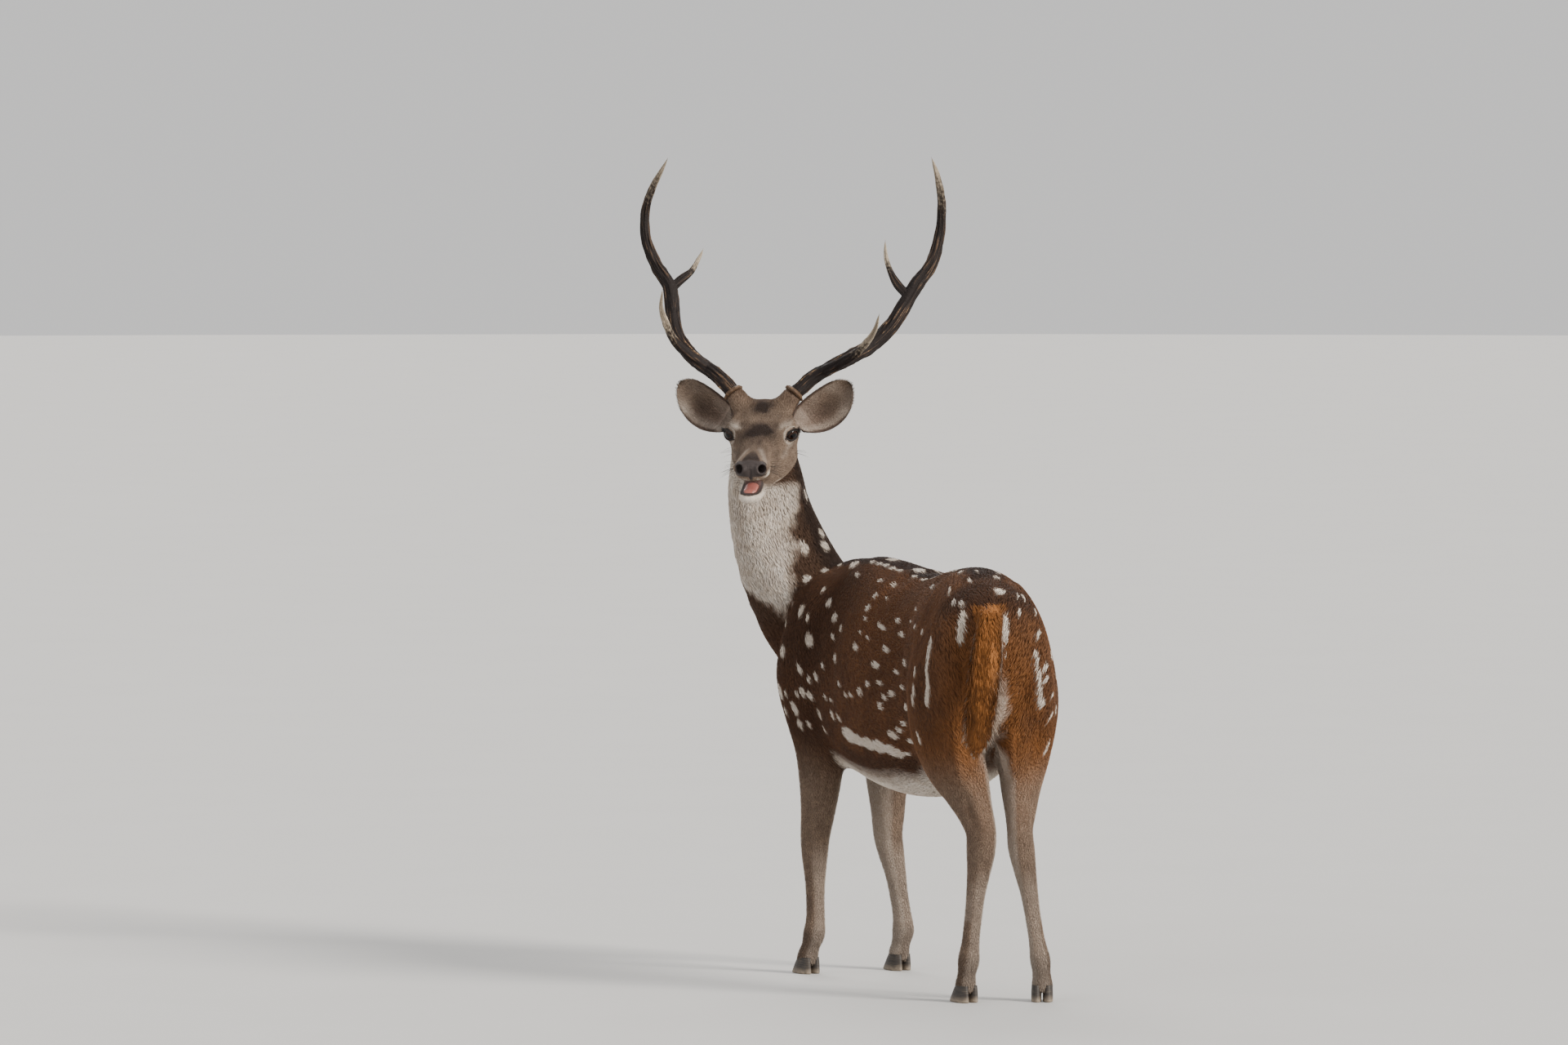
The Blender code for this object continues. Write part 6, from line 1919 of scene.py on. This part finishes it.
def coat_colour(finish, colours, shade):
    """The colour of the hair from the stored markings; shade varies it from 0 to 1."""
    white, dark, rust = finish.stored("marks").parts()
    grey = finish.stored("marks", "Alpha")
    hue = finish.mix(colours.coat, colours.coat_deep, shade)
    hue = finish.mix(hue, colours.rust, rust * (0.8 + 0.25 * shade))
    hue = finish.mix(hue, finish.mix(colours.grey, colours.grey_deep, shade), grey * 0.9)
    hue = finish.mix(hue, colours.dark, dark * (1.05 - 0.2 * shade))
    pale = finish.mix(colours.white, colours.cream, 0.7 * shade)
    return finish.mix(hue, pale, white * 1.1 - 0.05), white


def coat_finish(colours):
    finish = Finish("coat", 0.6, Specular_IOR_Level=0.18)
    along, first, second = finish.stored("tuft").parts()
    broad = finish.grain(22.0, 2.0).between(0.35, 0.65)
    clump = finish.grain(70.0, 2.0).between(0.35, 0.65)
    hue, white = coat_colour(finish, colours, 0.45 * first + 0.28 * broad + 0.27 * clump)
    tip = along.between(0.55, 1.0) * (second.between(0.35, 0.9)) * (1.0 - white) * 0.55
    hue = finish.mix(hue, colours.tip, tip)
    # Painted shade: each tuft darkens towards its root, less where the hair is white, for the shade deep in the
    # coat.
    root = along.between(0.45, 0.0) * (0.56 - 0.5 * white)
    hue = finish.mix(hue, finish.mix(colours.root, hue, 0.35), root)
    finish.colour(hue)
    finish.rough(0.5 + 0.22 * first)
    finish.relief(finish.grain(1400.0, 2.0), 0.00025, 0.5)
    return finish.material


def skin_finish(colours):
    finish = Finish("skin", 0.6, Specular_IOR_Level=0.3)
    bare, pink, wet = finish.stored("skin_marks").parts()
    streak = finish.grain(420.0, 4.0)
    hue, white = coat_colour(finish, colours, streak.between(0.3, 0.7))
    # Painted shade: the skin between the tufts is darkened with the root colour, less under white hair, but not
    # where it is bare.
    hue = finish.mix(hue, colours.root, (0.42 - 0.38 * white) * (1.0 - bare))
    hue = finish.mix(hue, finish.mix(colours.nose, colours.dark, streak * 0.5), bare)
    pinks = finish.mix(colours.pink, colours.nose, 0.42 + 0.35 * streak)
    hue = finish.mix(hue, pinks, pink)
    finish.colour(hue)
    finish.rough(0.72 - 0.32 * wet + 0.1 * streak)
    cobbles = finish.cells(820.0, "SMOOTH_F1")
    finish.relief(streak * (1.0 - wet) + cobbles * wet * 1.8, 0.0008, 0.9)
    return finish.material


def antler_finish(colours):
    finish = Finish("antler", 0.5, Specular_IOR_Level=0.25)
    share, ridge, main = finish.stored("grain").parts()
    fine = finish.grain(160.0, 6.0)
    broad = finish.grain(24.0, 3.0)
    hue = finish.mix(colours.antler_deep, colours.antler,
        (ridge.between(0.15, 0.75) * (0.35 + fine)).limited())
    fleck = finish.grain(230.0, 2.0).between(0.5, 0.62) * ridge.between(0.4, 0.75)
    fleck = fleck * (share.between(0.65, 0.2) * main + 0.35) * broad.between(0.3, 0.5)
    fleck = fleck * (1.0 - 0.85 * main * share.between(0.022, 0.012))
    hue = finish.mix(hue, colours.antler_fleck, fleck * 0.9)
    tine = (1.0 - main) * (share + 0.5 * (fine - 0.5)).between(0.42, 0.75)
    worn = main * (share + 0.25 * (fine - 0.5)).between(0.8, 1.0) + tine
    hue = finish.mix(hue, colours.antler_pale, (worn * (0.55 + 0.6 * fine) * (0.4 + ridge)).limited())
    finish.colour(hue)
    finish.rough(0.66 - 0.22 * ridge + 0.16 * fine)
    finish.relief(fine + finish.grain(520.0, 3.0) * 0.6, 0.0016, 1.0)
    return finish.material


def eye_finish(colours):
    finish = Finish("eye", 0.04, Specular_IOR_Level=0.2)
    across, rise, ahead = finish.stored("look").parts()
    x, y = (across - 0.5) * 2.0, (rise - 0.5) * 2.0
    pupil = ((x / 0.44) * (x / 0.44) + (y / 0.27) * (y / 0.27)).between(1.15, 0.85)
    away = (x * x + y * y) ** 0.5
    iris = away.between(0.8, 0.7) * ahead.between(0.5, 0.6)
    rays = finish.grain(1500.0, 2.0)
    brown = finish.mix(colours.eye, colours.eye_deep, (rays * 0.7 + away * 0.4).limited())
    hue = finish.mix(colours.eye_rim, brown, iris)
    hue = finish.mix(hue, (0.002, 0.0018, 0.0025), pupil)
    finish.colour(hue)
    finish.relief(finish.grain(90.0, 2.0), 0.00015, 0.15)
    return finish.material


def lid_finish(colours):
    finish = Finish("lids", 0.4, Specular_IOR_Level=0.25)
    grain = finish.grain(700.0, 3.0)
    finish.colour(finish.mix((0.01, 0.008, 0.007), colours.dark, grain * 0.6))
    finish.rough(0.42 + 0.25 * grain)
    finish.relief(grain, 0.0004, 0.6)
    return finish.material


def hair_finish(colours):
    finish = Finish("long_hair", 0.45, Specular_IOR_Level=0.4)
    grain = finish.grain(300.0, 2.0)
    finish.colour(finish.mix((0.006, 0.004, 0.003), colours.dark, grain))
    finish.rough(0.35 + 0.3 * grain)
    return finish.material


def hoof_finish(colours):
    finish = Finish("hoof", 0.5, Specular_IOR_Level=0.4)
    rings = finish.grain(1.0, 3.0, (60.0, 60.0, 900.0))
    mottled = finish.grain(130.0, 4.0)
    hue = finish.mix(colours.hoof, colours.hoof_pale, rings.between(0.45, 0.75) * 0.55)
    low = finish.node("ShaderNodeSeparateXYZ", {}, {0: finish.position()}, "Z").between(0.016, 0.0)
    hue = finish.mix(hue, colours.dust, (low * mottled * 1.1).limited())
    finish.colour(hue)
    finish.rough(0.4 + 0.3 * mottled)
    finish.relief(rings + 0.4 * mottled, 0.0005, 0.8)
    return finish.material


def tongue_finish(colours):
    finish = Finish("tongue", 0.3, Specular_IOR_Level=0.5, Subsurface_Weight=0.1)
    papillae = finish.cells(900.0)
    blotch = finish.grain(80.0, 3.0)
    finish.colour(finish.mix(colours.pink, colours.tongue, blotch.between(0.3, 0.7)))
    finish.rough(0.28 + 0.2 * blotch)
    finish.relief(papillae, 0.0005, 0.6)
    return finish.material


def floor_finish(colours):
    finish = Finish("floor", 0.85, Specular_IOR_Level=0.15)
    grain = finish.grain(3.0, 5.0)
    finish.colour(finish.mix(colours.floor, tuple(0.96 * v for v in colours.floor), grain))
    finish.rough(0.8 + 0.1 * grain)
    finish.relief(finish.grain(240.0, 3.0), 0.0004, 0.15)
    return finish.material


# Sizes and colours that a user may change

def size(name, text, default, low, high, unit="LENGTH"):
    return bpy.props.FloatProperty(name=name, description=text, default=default, min=low, max=high,
        unit=unit, precision=4)


def share(name, text, default, low=0.2, high=4.0):
    return bpy.props.FloatProperty(name=name, description=text, default=default, min=low, max=high,
        subtype="FACTOR")


def tint(name, text, default):
    return bpy.props.FloatVectorProperty(name=name, description=text, default=default, min=0.0, max=1.0,
        size=3, subtype="COLOR")


class StagSizes(bpy.types.PropertyGroup):
    skin_voxel: size("Skin grain", "Size of the voxels that the skin is fused with", 0.005, 0.003, 0.02)
    tuft_gap: share("Tuft gap", "Gap between tufts, as a share of the usual one", 1.0)
    tuft_length: share("Tuft length", "Length of the tufts, as a share of the usual one", 1.0)
    tuft_width: share("Tuft width", "Width of the tufts, as a share of the usual one", 1.0)
    lash_length: size("Lash length", "Length of the longest eyelashes", 0.01, 0.002, 0.03)
    whisker_length: size("Whisker length", "Length of the longest whiskers", 0.034, 0.005, 0.08)


class StagColours(bpy.types.PropertyGroup):
    coat: tint("Coat", "Rufous brown of the back and flanks", (0.19, 0.08, 0.032))
    coat_deep: tint("Coat, deep", "Darker hairs among the brown ones", (0.075, 0.032, 0.015))
    rust: tint("Rust", "Orange tan of the thighs and the tail", (0.31, 0.118, 0.03))
    grey: tint("Grey tan", "Face and lower legs", (0.4, 0.31, 0.232))
    grey_deep: tint("Grey tan, deep", "Darker hairs on face and legs", (0.135, 0.1, 0.076))
    dark: tint("Dark", "Stripe along the spine and the marks of the face", (0.016, 0.009, 0.007))
    white: tint("White", "Spots, belly and chin", (0.74, 0.68, 0.61))
    cream: tint("Cream", "Warmer hairs among the white ones", (0.5, 0.38, 0.27))
    tip: tint("Hair tips", "Ticked dark tips of the hairs", (0.03, 0.017, 0.011))
    root: tint("Hair roots", "Shade between the tufts", (0.03, 0.015, 0.009))
    nose: tint("Nose", "Bare wet skin of the nose and the lids", (0.04, 0.03, 0.028))
    pink: tint("Pink", "Bare skin in the mouth and the ears", (0.34, 0.115, 0.09))
    tongue: tint("Tongue", "The tongue", (0.36, 0.12, 0.098))
    antler: tint("Antler", "Ridges of the antlers", (0.085, 0.048, 0.026))
    antler_deep: tint("Antler, deep", "Furrows of the antlers", (0.01, 0.006, 0.005))
    antler_fleck: tint("Antler, flecks", "Golden flecks on the ridges", (0.33, 0.2, 0.095))
    antler_pale: tint("Antler, pale", "Worn tips and pearls", (0.6, 0.49, 0.36))
    eye: tint("Iris", "Inner part of the iris", (0.03, 0.011, 0.005))
    eye_deep: tint("Iris, deep", "Outer part of the iris", (0.008, 0.004, 0.003))
    eye_rim: tint("Eye rim", "Dark ring round the iris", (0.006, 0.004, 0.004))
    hoof: tint("Hoof", "Horn of the hooves", (0.022, 0.017, 0.014))
    hoof_pale: tint("Hoof, pale", "Pale bands in the horn", (0.11, 0.085, 0.062))
    dust: tint("Dust", "Dry earth on the foot of the hooves", (0.33, 0.26, 0.19))
    floor: tint("Floor", "Plain pale floor", (0.54, 0.53, 0.515))


class StagStudio(bpy.types.PropertyGroup):
    key: size("Key light", "Strength of the main soft light", 5.6, 0.0, 50.0, "NONE")
    fill: size("Fill light", "Strength of the light on the other side", 0.9, 0.0, 50.0, "NONE")
    back: size("Back light", "Strength of the light from behind", 1.6, 0.0, 50.0, "NONE")
    sky: share("Sky", "Strength of the even light all round", 0.78, 0.0, 3.0)
    floor_radius: size("Floor radius", "Radius of the floor", 40.0, 2.0, 90.0)


# Operators

def named(name):
    if name not in bpy.data.objects:
        raise RuntimeError(f"{name} has to be made first")
    return bpy.data.objects[name]


class STAG_OT_skin(bpy.types.Operator):
    """Makes the skin: one closed surface with folds, lids, nostrils and ears, and its markings"""
    bl_idname = "stag.skin"
    bl_label = "Skin"

    def execute(self, context):
        skin = build_flesh(context.scene.stag_sizes)
        mark_skin(skin)
        finished(skin, skin_finish(context.scene.stag_colours), FLESH)
        return {"FINISHED"}


class STAG_OT_coat(bpy.types.Operator):
    """Covers the skin with tufts of hair, one piece for each region"""
    bl_idname = "stag.coat"
    bl_label = "Coat"

    def execute(self, context):
        finish = coat_finish(context.scene.stag_colours)
        for piece in build_coat(named("skin"), context.scene.stag_sizes):
            finished(piece, finish)
        return {"FINISHED"}


class STAG_OT_antlers(bpy.types.Operator):
    """Makes both antlers, with burr, furrows, pearls and tines"""
    bl_idname = "stag.antlers"
    bl_label = "Antlers"

    def execute(self, context):
        finish = antler_finish(context.scene.stag_colours)
        for hand in ("left", "right"):
            parts = [f"antler_{hand}_{part}" for part in ("lower_beam", "upper_beam", "inner_tine",
                "brow_tine")]
            finished(build_antler(hand), finish, parts)
        return {"FINISHED"}


class STAG_OT_eyes(bpy.types.Operator):
    """Makes the eyes, the dark margins of their lids, and the lashes"""
    bl_idname = "stag.eyes"
    bl_label = "Eyes"

    def execute(self, context):
        colours = context.scene.stag_colours
        eye, lid, hair = eye_finish(colours), lid_finish(colours), hair_finish(colours)
        for side, hand in HANDS:
            finished(build_eye(side), eye, [f"eye_{hand}"])
        for side, hand in HANDS:
            finished(make(f"lids_{hand}", lid_shape(side)), lid)
        length = context.scene.stag_sizes.lash_length
        lashes = lash_shapes(1, length) + lash_shapes(-1, length)
        finished(make("lashes", joined(lashes)), hair)
        return {"FINISHED"}


class STAG_OT_mouth(bpy.types.Operator):
    """Makes the tongue that shows in the open mouth"""
    bl_idname = "stag.mouth"
    bl_label = "Mouth"

    def execute(self, context):
        finished(build_tongue(), tongue_finish(context.scene.stag_colours), ["tongue"])
        return {"FINISHED"}


class STAG_OT_hooves(bpy.types.Operator):
    """Makes the two toes of each foot"""
    bl_idname = "stag.hooves"
    bl_label = "Hooves"

    def execute(self, context):
        finish = hoof_finish(context.scene.stag_colours)
        for which in LEG_SWING:
            toes = [f"hoof_{which}_{label}" for label in ("left_toe", "right_toe")]
            finished(build_hooves(which), finish, toes)
        return {"FINISHED"}


class STAG_OT_whiskers(bpy.types.Operator):
    """Makes the whiskers of the muzzle, the chin and the brows"""
    bl_idname = "stag.whiskers"
    bl_label = "Whiskers"

    def execute(self, context):
        skin = named("skin")
        shapes = whisker_shapes(tree_of(skin, frame_shift()), context.scene.stag_sizes.whisker_length)
        finished(make("whiskers", joined(shapes)), hair_finish(context.scene.stag_colours))
        return {"FINISHED"}


def aimed(obj, place, target):
    obj.location = Vector(place)
    obj.rotation_mode = "QUATERNION"
    obj.rotation_quaternion = Vector(np.asarray(target) - place).to_track_quat("-Z", "Y")
    bpy.context.scene.collection.objects.link(obj)


def soft_light(name, strength, place, target, angle, colour=(1.0, 1.0, 1.0)):
    lamp = bpy.data.lights.new(name, "SUN")
    lamp.energy, lamp.angle, lamp.color = strength, angle, colour
    aimed(bpy.data.objects.new(name, lamp), np.asarray(place, float), target)


class STAG_OT_stage(bpy.types.Operator):
    """Lays the floor and sets the lights and the camera"""
    bl_idname = "stag.stage"
    bl_label = "Stage"

    def execute(self, context):
        studio = context.scene.stag_studio
        shift = frame_shift()
        rim = np.stack(circle(96), 1) * studio.floor_radius
        rings = [np.column_stack([rim, np.full(96, z)]) for z in (-0.03, -0.0005)]
        floor = make("floor", tube_mesh(rings))
        floor.data.materials.append(floor_finish(context.scene.stag_colours))
        floor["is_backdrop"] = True
        world = bpy.data.worlds.new("studio")
        world.use_nodes = True
        sky = world.node_tree.nodes["Background"]
        sky.inputs["Color"].default_value = (1.0, 0.99, 0.98, 1.0)
        sky.inputs["Strength"].default_value = studio.sky
        context.scene.world = world
        middle = shift + np.array([0.05, 0.0, 0.75])
        key = middle + VIEW_BACK * 5.2 + VIEW_RIGHT * 8.0 + UP * 4.6
        fill = middle + VIEW_BACK * 5.0 - VIEW_RIGHT * 6.5 + UP * 2.5
        back = middle - VIEW_BACK * 6.0 - VIEW_RIGHT * 1.5 + UP * 5.0
        soft_light("key", studio.key, key, middle, 0.3, (1.0, 0.96, 0.9))
        soft_light("fill", studio.fill, fill, middle, 1.0, (0.93, 0.96, 1.0))
        soft_light("back", studio.back, back, middle, 0.7)
        camera = bpy.data.cameras.new("camera")
        camera.sensor_width = VIEW_SENSOR
        camera.lens = VIEW_FOCUS / VIEW_SIZE[0] * VIEW_SENSOR
        camera.clip_end = 200.0
        place = VIEW_FROM + shift
        seen = bpy.data.objects.new("camera", camera)
        aimed(seen, place, place + sight(VIEW_SIZE[0] / 2, VIEW_SIZE[1] / 2))
        context.scene.camera = seen
        return {"FINISHED"}


class STAG_PT_panel(bpy.types.Panel):
    """Lists the steps that build the stag"""
    bl_idname = "STAG_PT_panel"
    bl_label = "Chital Stag"
    bl_space_type = "VIEW_3D"
    bl_region_type = "UI"
    bl_category = "Stag"

    def draw(self, context):
        column = self.layout.column()
        for operator in OPERATORS:
            column.operator(operator.bl_idname)
        for group in ("stag_sizes", "stag_colours", "stag_studio"):
            settings = getattr(context.scene, group)
            for key in settings.bl_rna.properties.keys()[2:]:
                column.prop(settings, key)


OPERATORS = (STAG_OT_skin, STAG_OT_coat, STAG_OT_antlers, STAG_OT_eyes, STAG_OT_mouth, STAG_OT_hooves,
    STAG_OT_whiskers, STAG_OT_stage)
GROUPS = {"stag_sizes": StagSizes, "stag_colours": StagColours, "stag_studio": StagStudio}


def register():
    for cls in (*GROUPS.values(), *OPERATORS, STAG_PT_panel):
        bpy.utils.register_class(cls)
    for name, group in GROUPS.items():
        setattr(bpy.types.Scene, name, bpy.props.PointerProperty(type=group))


def unregister():
    for name in GROUPS:
        delattr(bpy.types.Scene, name)
    for cls in reversed((*GROUPS.values(), *OPERATORS, STAG_PT_panel)):
        bpy.utils.unregister_class(cls)


def main():
    register()
    for operator in (bpy.ops.stag.skin, bpy.ops.stag.coat, bpy.ops.stag.antlers, bpy.ops.stag.eyes,
            bpy.ops.stag.mouth, bpy.ops.stag.hooves, bpy.ops.stag.whiskers, bpy.ops.stag.stage):
        operator()
    boxes = {"cad": CAD_BOX, "visual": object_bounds()}
    {key: [list(map(float, corner)) for corner in box] for key, box in boxes.items()}


if __name__ == "__main__":
    main()
